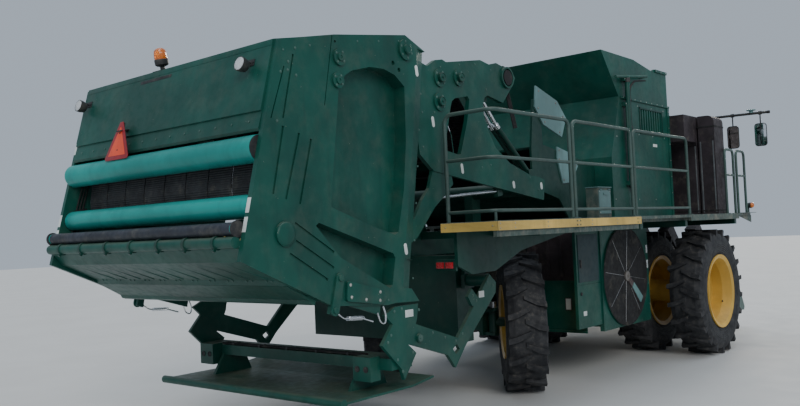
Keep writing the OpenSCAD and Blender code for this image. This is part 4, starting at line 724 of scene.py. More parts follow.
def gate_wall_fittings():
    """Bolts, hub caps and blank labels on the gate's two walls."""
    b = Build()
    for side, s, out in SIDES:
        x = s * GATE_HALF_W
        for u, v, r, stand, n in GATE_HOUSINGS:
            b.bolts([chamber(x + s * stand, u + du, v + dv) for du, dv in circle(n, r, 0.5)], out, 0.01)
        for p, q, pitch in GATE_EDGE_ROWS:
            b.bolts(spaced(chamber(x, *p), chamber(x, *q), pitch), out, 0.008, 0.007)
        b.bolts(chamber_row(x, *SLIDE_BOLTS), out, 0.01, 0.009)
        b.done("gate_wall_bolts_" + side, "bolt", "gate")
        b.lathe(chamber(x + s * 0.045, 0.382, 0.026), out,
                [(-0.02, 0.042), (0.004, 0.042), (0.006, 0.036), (0.002, 0.032), (0.002, 0.001)], 32)
        b.lathe(chamber(x + s * 0.02, 2.322, -1.428), out,
                [(-0.006, 0.103), (0.004, 0.098), (0.012, 0.085), (0.017, 0.06), (0.019, 0.001)], 48)
        for place in chamber_row(x + s * 0.022, (1.345, -0.01), (1.41, -0.215)):
            b.lathe(place, out, [(-0.01, 0.036), (0.014, 0.034), (0.016, 0.015), (0.01, 0.013),
                    (0.01, 0.001)], 28)
        b.done("gate_hub_caps_" + side, "green", "gate")
        for u, v in ((0.25, -0.187), (0.839, -1.881)):
            label(b, s, x, u, v, 0.035, 0.022)
        b.done("gate_labels_" + side, "plate", "gate")
        latch_rods(side, s)


def latch_rods(side, s):
    """Hook rods and spring of the gate's latch, under the wall's lower edge."""
    x = s * 1.525
    b = Build()
    b.tube(chamber_row(x, (1.9, -2.2), (1.8, -2.3), (1.6, -2.345), (1.44, -2.43)), 0.008, bend=0.03)
    b.tube(chamber_row(x, (1.36, -2.37), (1.34, -2.47), (1.28, -2.5), (1.25, -2.43), (1.27, -2.33)), 0.008,
            bend=0.05)
    # Spring: a helix along the rod
    start, end = chamber_row(x, (1.76, -2.31), (1.56, -2.36))
    p, q = side_axes((end - start).normalized())
    turns, per_turn = 11, 9
    coil = []
    for i in range(turns * per_turn + 1):
        a = 2 * math.pi * i / per_turn
        coil.append(start.lerp(end, i / (turns * per_turn)) + 0.019 * (math.cos(a) * p + math.sin(a) * q))
    b.tube(coil, 0.0032, 6)
    b.done("gate_latch_rods_" + side, "chrome", "gate")


def gate_rear_fittings():
    """Plates, bolts, clamps, bearings and pipes on the gate's rear face."""
    edge = Vector((0, *REAR_EDGE_RUN)).normalized()
    out = chamber_dir(-edge.z, edge.y)
    along = chamber_dir(edge.y, edge.z)
    b = Build()
    for s, v in BLANK_PLATES:
        u = REAR_EDGE[0] + REAR_EDGE_RUN[0] * (v - REAR_EDGE[1]) / REAR_EDGE_RUN[1]
        b.box(chamber(s * 1.515, u, v) + 0.001 * out, (0.044, 0.125, 0.002), (LEFT, along, out), 0.0008)
    b.done("gate_blank_plates", "plate", "gate")
    # Pairs of bolts along the two cross-bars under the chute
    for u, v, way in ((2.382, -1.815, (0.914, -0.406)), (2.137, -2.038, (0.943, -0.333))):
        places = [chamber((i - 5) * 0.262 + dx, u, v) for i in range(11) for dx in (-0.035, 0.035)]
        b.bolts(places, chamber_dir(*way), 0.009, 0.007)
    # Rows along the top flange and the lipped strip
    for i in range(13):
        x = (i - 6) * 0.225
        b.bolts((chamber(x, 2.055, 0.06), chamber(x + 0.05, 2.235, -0.33)), chamber_dir(0.92, 0.39), 0.008,
                0.006)
        b.bolt(chamber(x, 2.337, -0.472), chamber_dir(0.9, 0.43), 0.008, 0.006)
    b.done("gate_rear_bolts", "bolt", "gate")
    for x in CLAMP_X:
        b.lathe(chamber(x, *TUBE) - 0.016 * LEFT, LEFT,
                [(0, 0.055), (0.002, 0.0585), (0.03, 0.0585), (0.032, 0.055)], 36)
        b.box(chamber(x, 2.836, -1.448), (0.032, 0.028, 0.024), (LEFT, chamber_dir(1, -1), chamber_dir(1, 1)))
    b.done("tube_clamps", "green_dark", "gate")
    # Bearing blocks at the roller ends, against the walls
    for u, v, r in ROLLERS:
        for s in (-1, 1):
            b.lathe(chamber(s * (GATE_INNER + 0.002), u, v), -s * LEFT,
                    [(0, 1.5 * r), (0.018, 1.45 * r), (0.022, r), (0.035, r)], 32)
    b.done("gate_roller_bearings", "black", "gate")
    # Hydraulic pipes that run down the inside of the left wall
    for u in (2.16, 2.195, 2.23):
        b.tube(chamber_row(1.47, (u, -0.62), (u + 0.2, -1.0), (u + 0.42, -1.5), (u + 0.16, -1.72)), 0.009,
                bend=0.08)
    for t in (0.2, 0.5, 0.8):
        place = chamber(1.474, 2.16, -0.62).lerp(chamber(1.474, 2.58, -1.5), t) + 0.035 * CHAMBER_AXES[1]
        b.box(place, (0.03, 0.13, 0.022), CHAMBER_AXES)
    b.done("gate_pipes", "seal", "gate")


def gate_forms():
    """Black rubber on the lowest roller, the lip over the rear panel and the latch on the walls."""
    b = Build()
    b.lathe(chamber(-1.452, *ROLLERS[2][:2]), LEFT,
            [(0, 0.0526), (0.002, 0.0545), (2.902, 0.0545), (2.904, 0.0526)], 40)
    b.done("roller_sleeve", "roller_black", "gate")
    axes = (LEFT, PANEL_OUT, PANEL_DOWN)
    b.box(chamber(0, 2.052, 0.15), (2.976, 0.018, 0.05), axes, 0.004)
    b.box(chamber(0, 2.252, -0.34), (2.976, 0.012, 0.022), axes, 0.003)
    b.done("gate_lip", "green", "gate")
    b.box(chamber(0.2, 2.07, 0.096), (0.52, 0.03, 0.034), axes, 0.006)
    for x in (0, 0.38):
        b.box(chamber(x, 2.068, 0.075), (0.05, 0.024, 0.09), axes, 0.006)
    b.done("beacon_bracket", "black", "gate")
    pins = ((1.79, -1.935), (1.915, -2.195))
    cover = rounded_loop([(1.715, -1.975), (1.275, -2.17), (1.235, -2.262), (1.315, -2.3), (1.765, -2.15)],
            0.03)
    for side, s, out in SIDES:
        x = s * (GATE_HALF_W + 0.001)
        b.prism(chamber_row(x, *link_outline(*pins, 0.048)), 0.02 * out, 0.004)
        for place in chamber_row(x, *pins):
            b.lathe(place, out, [(0.018, 0.03), (0.032, 0.028), (0.036, 0.022), (0.036, 0.001)], 28)
        b.done("latch_link_" + side, "green", "gate")
        b.prism(chamber_row(x, *cover), 0.026 * out, 0.01)
        b.done("latch_cover_" + side, "green", "gate")
        bolts = ((1.69, -2.02), (1.32, -2.18), (1.34, -2.255), (1.7, -2.13), (1.52, -2.2))
        b.bolts(chamber_row(x + s * 0.025, *bolts), out, 0.013, 0.012)
        b.done("latch_bolts_" + side, "zinc", "gate")


def link_outline(p, q, r, steps=8):
    """Outline of a link with round ends of radius r about p and q."""
    turn = math.atan2(q[1] - p[1], q[0] - p[0])
    out = []
    for centre, start in ((p, turn + math.pi / 2), (q, turn - math.pi / 2)):
        angles = [start + math.pi * i / steps for i in range(steps + 1)]
        out += [(centre[0] + r * math.cos(a), centre[1] + r * math.sin(a)) for a in angles]
    return out


def rounded_loop(points, bend, steps=4):
    """A closed outline with its corners rounded over the length bend."""
    out = []
    n = len(points)
    for i in range(n):
        a, p, b = (Vector(points[(i + k) % n]) for k in (-1, 0, 1))
        s, e = p + (a - p).normalized() * bend, p + (b - p).normalized() * bend
        out += [tuple(s.lerp(p, t).lerp(p.lerp(e, t), t)) for t in (j / steps for j in range(steps + 1))]
    return out


gate_lamps()
gate_forms()
gate_wall_fittings()
gate_rear_fittings()


# Fixed chamber and feeder

# Round bearing housings: rearwards, up, radius
BEARINGS = ((-0.2, -0.273, 0.095), (-0.541, -0.292, 0.09), (-0.138, -0.521, 0.095))
# Rods of the belts' cylinders: both ends
BELT_ROD = ((-1.08, -0.56), (-1.3, -0.88))
CYLINDER_X = (1.3, 1.375)
# Path of the first hose along the front cheek: x, rearwards, up
CHEEK_HOSE = ((1.44, -1.02, -0.5), (1.44, -1.12, -0.3), (1.42, -1.38, -0.2), (1.36, -1.62, -0.46),
        (1.36, -1.7, -0.95))
WALL_BOLTS = ((-0.9, -0.16), (-0.6, -0.15), (-0.25, -0.16), (-0.03, -0.62), (0.17, -0.6), (0.24, -0.95),
        (-0.93, -1.3), (-1.45, -1.42), (-1.72, -1.56), (-1.88, -1.74), (0.02, -1.13), (-1.2, -0.24),
        (-1.05, -0.45), (-0.75, -1.3))
# Blank labels: rearwards, up, half the straight length, end radius
CHAMBER_LABELS = ((0.015, -0.714, 0.035, 0.022), (-0.372, -1.26, 0.035, 0.022), (-1.343, -1.59, 0.02, 0.025),
        (-1.959, -1.701, 0.02, 0.025))
# Outlines of the two guard plates on each side: rearwards, up
GUARDS = (((3.703, 3.874), (3.169, 3.724), (2.947, 3.514), (3.083, 3.247), (3.553, 3.382), (3.744, 3.593)),
        ((3.225, 3.11), (2.886, 3.041), (2.679, 2.871), (2.872, 2.647), (3.107, 2.622), (3.235, 2.96)))


def chamber_fittings():
    """Bolts, hubs, labels, cylinder rods and pipes of the fixed chamber, and the guards' bolts."""
    b = Build()
    for side, s, out in SIDES:
        x = s * FIXED_HALF_W
        for u, v, r in BEARINGS:
            b.bolts([chamber(x + s * 0.02, u + du, v + dv) for du, dv in circle(4, 0.76 * r, 0.5)], out,
                    0.013, 0.011)
        b.bolts(chamber_row(x, *WALL_BOLTS), out, 0.009, 0.008)
        b.done("chamber_bolts_" + side, "bolt")
        for u, v, r in BEARINGS:
            b.lathe(chamber(x + s * 0.055, u, v), out, [(-0.03, 0.05), (0.0, 0.05), (0.005, 0.044),
                    (-0.006, 0.036), (-0.006, 0.012), (0.01, 0.01), (0.01, 0.001)], 32)
        b.done("chamber_hubs_" + side, "green_dark")
        for u, v, half, r in CHAMBER_LABELS:
            label(b, s, x, u, v, half, r)
        b.done("chamber_labels_" + side, "plate")
        # Black disc in the open end of the cheek tube: painted shade for its hollow bore
        b.lathe(chamber(x + s * 0.031, -1.503, -0.347), out,
                [(-0.004, 0.088), (0.001, 0.088), (0.0015, 0.001)], 40)
        b.done("cheek_tube_bore_shade_" + side, "seal")
        for cx in CYLINDER_X:
            b.tube(chamber_row(s * cx, *BELT_ROD), 0.0195, 20)
            b.lathe(chamber(s * cx, -1.29, -0.87), chamber_dir(-0.55, -0.63),
                    [(-0.004, 0.02), (-0.004, 0.034), (0.05, 0.034), (0.05, 0.032)], 24)
        b.tube(chamber_row(s * 1.395, (0.1, -1.5), (-1.1, -1.62)), 0.0185, 20)
        b.done("chamber_rods_" + side, "chrome")
        # Hoses clipped along the wall's front cheek
        for i in range(3):
            path = [chamber(s * cx, u - 0.028 * i, v) for cx, u, v in CHEEK_HOSE]
            b.tube(path, 0.011, bend=0.12)
        b.done("chamber_pipes_" + side, "seal")
        for outline in GUARDS:
            cy, cz = (sum(values) / len(outline) for values in zip(*outline))
            places = [(cy + 0.8 * (y - cy), cz + 0.8 * (z - cz)) for y, z in outline]
            b.bolts(at_row(s * 1.2505, *places), out, 0.012, 0.009)
        b.done("guard_bolts_" + side, "steel_rusty")


chamber_fittings()


# Wheels


def wheel_fittings():
    """Wheel bolts, hub caps and tyre valves."""
    b = Build()
    for side, s, out in SIDES:
        for x in DUAL_X:
            b.bolts([at(s * (x - 0.095), y, FRONT_AXLE_Z + z) for y, z in circle(10, 0.192)], out, 0.013,
                    0.02)
        b.bolts([at(s * 1.89, y, FRONT_AXLE_Z + z) for y, z in circle(8, 0.135, 0.5)], out, 0.01, 0.01)
        b.lathe(at(s * 1.885, 0, FRONT_AXLE_Z), out, [(0, 0.09), (0.02, 0.088), (0.026, 0.06),
                (0.026, 0.001)], 40)
        b.done("front_hub_" + side, "green_dark", "front_wheels_" + side)
        for x in DUAL_X:
            for way in (spoke(0.9), spoke(3.6)):
                root = at(s * (x + 0.1), 0, FRONT_AXLE_Z) + 0.462 * way
                b.lathe(root, -way + 0.3 * out, [(0, 0.012), (0.012, 0.012), (0.016, 0.006), (0.05, 0.006),
                        (0.054, 0.003)], 14)
        b.done("front_valves_" + side, "black", "front_wheels_" + side)
        rear_hub(side, s)


def rear_hub(side, s):
    """Bolts and cap of a rear wheel, square to its steered axle."""
    axle = Vector((math.cos(STEER_ANGLE), math.sin(STEER_ANGLE), 0))
    p, q = side_axes(axle)
    centre = at(s * KINGPIN_X, REAR_AXLE_Y, REAR_AXLE_Z) + s * REAR_WHEEL_OFFSET * axle
    b = Build()
    b.bolts([centre + s * 0.037 * axle + dp * p + dq * q for dp, dq in circle(10, 0.13)], s * axle, 0.011,
            0.016)
    b.lathe(centre + s * 0.098 * axle, s * axle, [(0, 0.085), (0.015, 0.083), (0.03, 0.06), (0.032, 0.001)],
            36)
    b.done("rear_hub_" + side, "green_dark", "rear_wheel_" + side)


wheel_fittings()


# Platforms and handrails

RAIL_X = DECK_HALF_W - 0.05
# Posts of a handrail's two straight sections, then the first post of its rear section
RAIL_POSTS = (4.48, 2.96, 2.88, 1.07, 4.56)
RAIL_H = 1.11


def platform_fittings():
    """Feet and welds of the handrails, the yellow edge and the nose of each platform."""
    b = Build()
    for side, s, out in SIDES:
        x = s * RAIL_X
        for y in RAIL_POSTS:
            b.box(at(x, y, DECK_Z + 0.004), (0.085, 0.075, 0.008), edge=0.001)
            b.bolts([at(x, y + dy, DECK_Z + 0.008) for dy in (-0.028, 0.028)], UP, 0.008, 0.008)
            # Nuts of the post on the stripe's face
            if y > 2.9:
                b.bolts([at(s * DECK_HALF_W, y, DECK_Z - dz) for dz in (0.03, 0.075)], out, 0.009, 0.007)
        for y in (-1.15, -0.75, -1.7, -1.3):
            b.box(at(s * (DECK_HALF_W - 0.12), y, DECK_Z + 0.004), (0.085, 0.075, 0.008), edge=0.001)
        b.done("rail_feet_" + side, "rail")
        # Collars where the mid and toe rails meet the posts
        for y in RAIL_POSTS[:4]:
            for h in (0.57 * RAIL_H, 0.1):
                b.bead(at(x, y, DECK_Z + h), UP, 0.0225, 0.004)
        b.done("rail_welds_" + side, "rail")
        reeded_stripe(side, s, out)
        # Plate's pressed edge at the nose, with its brace
        b.box(at(x, -1.45, DECK_Z + 0.004), (0.07, 0.86, 0.008), edge=0.002)
        brace = ((-1.86, DECK_Z - 0.04), (-1.86, DECK_Z - 0.16), (-1.2, DECK_Z - 0.04))
        b.prism(at_row(s * (DECK_HALF_W - 0.1), *brace), -0.012 * out, 0.002)
        b.done("platform_nose_" + side, "deck")


def reeded_stripe(side, s, out):
    """Yellow edge strip with fine ribs along it, on the platform's side and rear end."""
    b = Build()
    edge_x = s * DECK_HALF_W
    top, low, ribs = DECK_Z - 0.008, DECK_Z - 0.098, 7
    step = (top - low) / ribs
    corner = at(edge_x, PLATFORM_REAR_Y, 0)
    for line, way in (((at(edge_x, 2.853, 0), corner), out),
            ((corner, at(s * PLATFORM_IN_X, PLATFORM_REAR_Y, 0)), REARWARD)):
        profile = []
        for i in range(ribs):
            z = top - i * step
            profile += [(z, 0.0004), (z - 0.25 * step, 0.0028), (z - 0.75 * step, 0.0028)]
        profile += [(low, 0.0004)]
        b.skin([b.row([p + z * UP + d * way for p in line]) for z, d in profile], closed=False, cap=False)
    b.done("edge_stripe_" + side, "stripe")
    for y in (2.9, 3.55, 4.2, 4.52, 5.2, 5.85, 6.12):
        b.bolts([at(edge_x + s * 0.0028, y, DECK_Z - dz) for dz in (0.03, 0.076)], out, 0.006, 0.003)
    b.bolts([at(s * x, PLATFORM_REAR_Y + 0.0028, DECK_Z - 0.05) for x in (1.56, 2.14)], REARWARD, 0.006,
            0.003)
    b.done("stripe_rivets_" + side, "zinc")


def tool_box_fittings():
    """Lid, door, catch and hinges of the box on the right platform."""
    face, middle = -1.69, 2.8225
    b = Build()
    for dx, dz, size, edge in ((0.081, 0.406, (0.19, 0.395, 0.012), 0.004),
            (-0.004, 0.21, (0.008, 0.33, 0.31), 0.003), (-0.014, 0.32, (0.014, 0.1, 0.03), 0.004)):
        b.box(at(face + dx, middle, DECK_Z + dz), size, edge=edge)
    for dy in (-0.12, 0.12):
        b.tube([at(face - 0.012, middle + dy + end, DECK_Z + 0.375) for end in (-0.03, 0.03)], 0.007, 12)
    b.done("tool_box_lid", "guard")
    b.bolts([at(face - 0.008, middle + dy, DECK_Z + dz) for dy in (-0.15, 0.15) for dz in (0.07, 0.35)],
            -LEFT, 0.007, 0.005)
    b.done("tool_box_screws", "zinc")


platform_fittings()
tool_box_fittings()


# Engine housing and the rotary screen


def housing_fittings():
    """Bolts, service panel, plate, latch and side lamps of the engine's two housings."""
    b = Build()
    for side, s, out in SIDES:
        def face(depth, y, z):
            return at(s * (HOUSING_X - depth), y, z)

        for p, q, pitch in (((1.15, 1.9), (2.6, 1.9), 0.29), ((1.15, 0.64), (2.6, 0.64), 0.29),
                ((1.15, 0.85), (1.15, 1.75), 0.3), ((2.6, 0.85), (2.6, 1.75), 0.3)):
            b.bolts(spaced(face(0, *p), face(0, *q), pitch), out, 0.009, 0.007)
        b.bolts([face(0.02, y, z) for z in (1.93, 0.76, 1.32) for y in (2.7, 3.24)], out, 0.009, 0.007)
        b.done("housing_bolts_" + side, "bolt")
        # Service panel over the seam in dark paint as painted shade, blank plate and door latch
        b.box(face(0.016, 2.972, 1.62), (0.01, 0.56, 0.62), edge=0.004)
        b.done("service_panel_" + side, "panel_painted_shade")
        b.box(face(0.018, 3.12, 0.9), (0.003, 0.09, 0.06), edge=0.001)
        b.done("housing_plates_" + side, "plate")
        b.box(face(0.006, 3.2, 1.55), (0.016, 0.035, 0.11), edge=0.006)
        b.lathe(face(0.02, 3.2, 1.16), out, [(0, 0.024), (0.01, 0.022), (0.014, 0.016), (0.014, 0.001)], 24)
        b.box(face(0.008, 3.2, 1.16), (0.006, 0.012, 0.04), edge=0.002)
        b.done("housing_latch_" + side, "black")
        # Reflectors and marker lamps on the housing's front edge
        for z in (1.44, 1.66):
            b.box(face(-0.006, 1.175, z), (0.012, 0.04, 0.12), edge=0.005)
        b.done("side_lamps_" + side, "lens_clear")


def screen_fittings():
    """Seal round the rotary screen, its hub, the vacuum arm's cover and the wires over the disc."""
    middle = at(-HOUSING_X, SCREEN_Y, SCREEN_Z)
    b = Build()
    lip = ((-0.004, 0.006), (0.006, 0.012), (0.01, 0.02), (0.004, 0.028))
    b.lathe(middle - 0.02 * LEFT, -LEFT, [(h, SCREEN_R + r) for h, r in lip], 96)
    b.done("screen_seal", "seal")
    b.lathe(middle - 0.035 * LEFT, -LEFT, [(-0.01, 0.075), (0.012, 0.073), (0.02, 0.055), (0.02, 0.022),
            (0.03, 0.02), (0.03, 0.001)], 40)
    b.bolts([middle - 0.052 * LEFT + 0.048 * spoke(i * math.pi / 3 + 0.2) for i in range(6)], -LEFT, 0.007,
            0.006)
    b.done("screen_hub", "steel_rusty", "screen")
    arm = math.radians(SCREEN_ARM)
    way, across = spoke(arm), spoke(arm + math.pi / 2)
    cover = ((0.2, -0.044), (0.535, -0.058), (0.548, -0.045), (0.548, 0.045), (0.535, 0.058), (0.2, 0.044))
    b.prism([middle - 0.04 * LEFT + u * way + v * across for u, v in cover], -0.016 * LEFT, 0.006)
    b.done("vacuum_arm_cover", "guard", "screen")
    for i in range(8):
        ray = spoke(math.radians(45 * i + 8))
        b.tube([middle - 0.02 * LEFT + r * ray for r in (0.06, 0.645)], 0.006, 6)
    b.done("screen_wires", "steel", "screen")


def bay_bulkheads():
    """Pressed rear walls of the engine bay, between the frame and the side panels; the upper wall is in dark
    duct rubber as painted shade.
    """
    b = Build()
    for side, s, out in SIDES:
        def sheet(x, stand, z, size, edge):
            b.box(at(s * x, 2.97 + stand, z), size, edge=edge)

        sheet(0.985, 0, 0.965, (0.88, 0.006, 0.69), 0.002)
        sheet(0.985, 0.008, 0.635, (0.88, 0.022, 0.03), 0.006)
        sheet(0.985, 0.006, 1.305, (0.88, 0.014, 0.022), 0.004)
        b.done("bay_wall_lower_" + side, "green")
        # Upper wall and its ribs in the dark duct rubber: painted shade over the bay's upper part
        sheet(0.985, 0, 1.635, (0.88, 0.006, 0.64), 0.002)
        for i in range(4):
            sheet(0.66 + 0.21 * i, 0.008, 1.635, (0.05, 0.014, 0.52), 0.006)
        b.done("bay_wall_upper_painted_shade_" + side, "duct")
        sheet(1.163, 0.006, 1.002, (0.1, 0.008, 0.17), 0.003)
        b.done("bay_plate_frame_" + side, "black")
        sheet(1.163, 0.011, 1.002, (0.075, 0.003, 0.145), 0.001)
        b.done("bay_plate_" + side, "plate")


def nose_lamps():
    """Lens and shell of the lamp at the front tip of each platform."""
    b = Build()
    for side, s, out in SIDES:
        place = at(s * (DECK_HALF_W - 0.09), -1.88, DECK_Z + 0.13)
        b.lathe(place, out, [(-0.046, 0.02), (-0.04, 0.046), (-0.012, 0.05), (0.0, 0.05)], 32)
        b.done("nose_lamp_body_" + side, "black")
        b.lathe(place, out, [(0.0, 0.049), (0.012, 0.048), (0.03, 0.038), (0.042, 0.022), (0.047, 0.001)], 32)
        b.done("nose_lamp_lens_" + side, "lens_orange")


housing_fittings()
screen_fittings()
bay_bulkheads()
nose_lamps()


# Accumulator and air ducts

# Single bolts on the accumulator's walls
ACC_BOLTS = ((0.25, 3.37), (0.7, 3.37), (1.2, 3.37), (0.25, 3.8), (0.7, 3.8), (1.2, 3.8), (2.08, 2.4),
        (2.08, 2.9), (1.95, 3.3), (1.3, 2.4), (0.7, 2.4))


def accumulator_fittings():
    """Bolts, vent frame, lift pipes and blank plate of each wall, and the roof's hinges."""
    b = Build()
    for side, s, out in SIDES:
        x = s * ACC_HALF_W
        for stand, p, q, pitch in ((0.022, (0.12, 3.878), (1.72, 3.878), 0.2),
                (0.015, (0.075, 2.25), (0.075, 3.8), 0.26), (0.012, (0.08, 4.42), (0.46, 4.42), 0.19)):
            b.bolts(spaced(*at_row(x + s * stand, p, q), pitch), out, 0.008, 0.006)
        b.bolts(at_row(x, *ACC_BOLTS), out, 0.008, 0.006)
        clamps = [(LIFT_PIPE_Y + dy, z) for z in (2.63, 3.78, 4.145) for dy in (-0.045, 0.065)]
        b.bolts(at_row(x + s * 0.06, *clamps), out, 0.009, 0.008)
        b.done("accumulator_bolts_" + side, "zinc")
        b.rim(x + s * 0.004, 0.3, 3.385, 1.15, 3.79, 0.025, 0.012, 0.003)
        b.done("vent_frame_" + side, "green_dark")
        # Hydraulic pipes that join the lift pipe at both ends
        px = s * (ACC_HALF_W + 0.06)
        for dy in (-0.055, -0.08):
            straight = at_row(px, (LIFT_PIPE_Y + dy, 2.2), (LIFT_PIPE_Y + dy, 4.02))
            b.tube(straight + at_row(px + s * 0.01, (1.5 + dy, 4.14), (1.1 + dy, 4.19)), 0.01, bend=0.1)
        b.done("lift_pipes_" + side, "seal")
        for z in (2.62, 3.05, 3.45, 3.85):
            b.box(at(px, 1.585, z), (0.034, 0.066, 0.028), edge=0.004)
        for z, h in ((2.56, 0.05), (4.1, 0.06)):
            b.lathe(at(px, LIFT_PIPE_Y, z), UP, [(0, 0.036), (0, 0.046), (h, 0.046), (h, 0.036)], 32)
        b.done("lift_clamps_" + side, "black")
        b.box(at(x + s * 0.0015, 0.63, 3.234), (0.003, 0.15, 0.045), edge=0.001)
        b.done("accumulator_plates_" + side, "plate")
    # Hinges and rests along the roof's front edge
    for i in range(7):
        cx = (i - 3) * 0.42
        b.box(at(cx, 0.3, 4.455), (0.07, 0.16, 0.05), edge=0.008)
        b.tube([at(cx - 0.05, 0.4, 4.46), at(cx + 0.05, 0.4, 4.46)], 0.016, 14)
    b.done("roof_hinges", "green_dark")


# Air ducts beside the cab: middle and width
DUCTS = ((DECK_HALF_W - 1.07, 0.2), (DECK_HALF_W - 0.7, 0.48), (DECK_HALF_W - 0.3, 0.26))


def duct_fittings():
    """Straps and seams of the air ducts beside the cab; the seams are raised strips in a lighter plastic as
    painted highlight on the ducts' edges.
    """
    b = Build()
    for side, s, out in SIDES:
        for cx, w in DUCTS:
            for z in (2.2, 3.56):
                b.band(at(s * cx, -0.69, z), (w + 0.006, 0.426), 0.024, 0.004)
        b.done("duct_straps_" + side, "seal")
        # Raised seam strips, lighter than the duct: painted highlight along each duct's edges
        for cx, w in DUCTS:
            for dx in (-w / 2 + 0.03, w / 2 - 0.03):
                b.box(at(s * (cx + dx), -0.479, 2.75), (0.022, 0.006, 1.15), edge=0.002)
        b.done("duct_seams_" + side, "duct_seam_highlight")


accumulator_fittings()
duct_fittings()


# Cab, mirrors and lamps


def round_rect(x, z, w, h, r, steps=5):
    """Outline of a rounded rectangle with half sizes w and h and corner radius r."""
    corners = ((w, h, 0), (-w, h, 90), (-w, -h, 180), (w, -h, 270))
    out = []
    for cx, cz, start in corners:
        for i in range(steps + 1):
            a = math.radians(start + 90 * i / steps)
            out.append((x + cx - math.copysign(r, cx) + r * math.cos(a),
                    z + cz - math.copysign(r, cz) + r * math.sin(a)))
    return out


def mirror_head(x, side, s):
    """Rounded mirror head with its glass, in place of the plain block."""
    y, z = MIRROR_Y, 3.435
    outline = round_rect(x, z, 0.098, 0.193, 0.05)

    def ring(dy, kx, kz):
        return [at(s * (x + kx * (px - x)), y + dy, z + kz * (pz - z)) for px, pz in outline]

    b = Build()
    steps = ((-0.03, 0.55), (-0.026, 0.8), (-0.012, 0.95), (0.004, 1.0), (0.02, 1.0), (0.024, 0.96))
    b.skin([b.row(ring(dy, k, k)) for dy, k in steps])
    shell = b.done("mirror_shell_%s_%d" % (side, round(100 * x)), "black", angle=40)
    b.prism(ring(0.0245, 0.92, 0.94), 0.002 * REARWARD)
    return shell, b.done("mirror_glass_%s_%d" % (side, round(100 * x)), "mirror")


def mirrors():
    """Mirror arms with their clamps and heads, and the aerial's disc on the right arm."""
    inner, outer = CAB_HALF_W + 0.021, 2.6
    made = []
    b = Build()
    for side, s, out in SIDES:
        for x in MIRROR_X:
            made += mirror_head(x, side, s)
        p, q = at(s * inner, MIRROR_Y, 3.82), at(s * outer, MIRROR_Y, MIRROR_BAR_Z)
        b.tube([p, q], 0.0215, 20)
        b.lathe(q, out, [(-0.03, 0.0215), (-0.03, 0.026), (0.004, 0.026), (0.008, 0.02), (0.008, 0.001)], 24)
        for x in (0.9, 1.42, 1.5, *MIRROR_X):
            place = p.lerp(q, (x - inner) / (outer - inner)) - 0.025 * out
            b.lathe(place, out, [(0, 0.0215), (0, 0.031), (0.05, 0.031), (0.05, 0.0215)], 24)
        for x in MIRROR_X:
            b.tube(at_row(s * x, (MIRROR_Y, MIRROR_BAR_Z), (MIRROR_Y, 3.6)), 0.0105, 16)
            b.tube(at_row(s * x, (MIRROR_Y, 3.6), (MIRROR_Y - 0.035, 3.56), (MIRROR_Y - 0.035, 3.44)), 0.0095,
                    14, bend=0.02)
        made.append(b.done("mirror_arm_" + side, "black"))
    b.lathe(at(-2.31, MIRROR_Y, 3.815), UP, [(0, 0.03), (0.03, 0.032), (0.04, 0.072), (0.05, 0.076),
            (0.056, 0.07), (0.06, 0.045), (0.061, 0.002)], 40)
    made.append(b.done("aerial_disc", "guard"))
    for piece in made:
        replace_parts(piece, "mirrors")


def cab_fittings():
    """Roof lamps, wiper, door handle, pane seals and grab rails."""
    b = Build()
    # Lenses in the roof's six lamps
    for i in range(6):
        b.lathe(at((i - 2.5) * 0.28, -2.215, 3.7553), -REARWARD,
                [(-0.001, 0.06), (0.004, 0.058), (0.008, 0.04), (0.01, 0.001)], 28)
    b.done("roof_lamp_lenses", "lens_clear")
    for i in range(6):
        b.lathe(at((i - 2.5) * 0.28, -2.216, 3.7553), REARWARD,
                [(-0.002, 0.061), (-0.002, 0.067), (0.012, 0.067), (0.012, 0.061)], 28)
    b.done("roof_lamp_rims", "black")
    # Wiper on the windscreen
    b.tube([at(0.05, -2.088, 2.46), at(0.05, -2.1, 2.5), at(0.28, -2.1, 2.98)], 0.008, 12, bend=0.02)
    b.box(at(0.28, -2.096, 2.98), (0.014, 0.014, 0.6),
            (Vector((0.9, 0, -0.436)), REARWARD, Vector((0.436, 0, 0.9))), edge=0.003)
    # Door handle
    b.box(at(0.868, -1.7, 2.86), (0.03, 0.03, 0.16), edge=0.01)
    b.box(at(0.858, -1.7, 2.86), (0.018, 0.055, 0.2), edge=0.006)
    # Each pane: x, then the lower front and the upper rear corner
    for pane in ((-0.851, -1.98, 2.501, -0.53, 3.72), (0.851, -1.66, 2.451, -1.04, 3.65)):
        b.rim(*pane, 0.022, 0.008, 0.002)
    b.done("cab_trim", "seal")
    for s in (-1, 1):
        b.tube([at(s * 0.895, -0.4, 2.6), at(s * 0.925, -0.4, 2.62), at(s * 0.925, -0.4, 3.4),
                at(s * 0.895, -0.4, 3.42)], 0.013, 14, bend=0.03)
    b.done("cab_grab_rails", "rail")


def cushion(name, centre, size):
    """Padded seat piece: a block swollen by cloth pressure, with a rounded crowned form."""
    bm = bmesh.new()
    bmesh.ops.create_cube(bm, size=1)
    bmesh.ops.scale(bm, vec=Vector(size), verts=bm.verts)
    bmesh.ops.bevel(bm, geom=bm.edges[:], offset=0.24 * min(size), segments=3, affect="EDGES", profile=0.6)
    bmesh.ops.translate(bm, vec=centre, verts=bm.verts)
    mesh = bpy.data.meshes.new(name)
    bm.to_mesh(mesh)
    bm.free()
    piece = bpy.data.objects.new(name, mesh)
    bpy.context.scene.collection.objects.link(piece)
    remesh = piece.modifiers.new("even_faces", "REMESH")
    remesh.mode = "VOXEL"
    remesh.voxel_size = 0.006
    apply_modifiers(piece)
    swell(piece, 0.012)
    for p in piece.data.polygons:
        p.use_smooth = True
    piece.data.materials.append(M["seat"])
    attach(piece, "machine")
    return piece


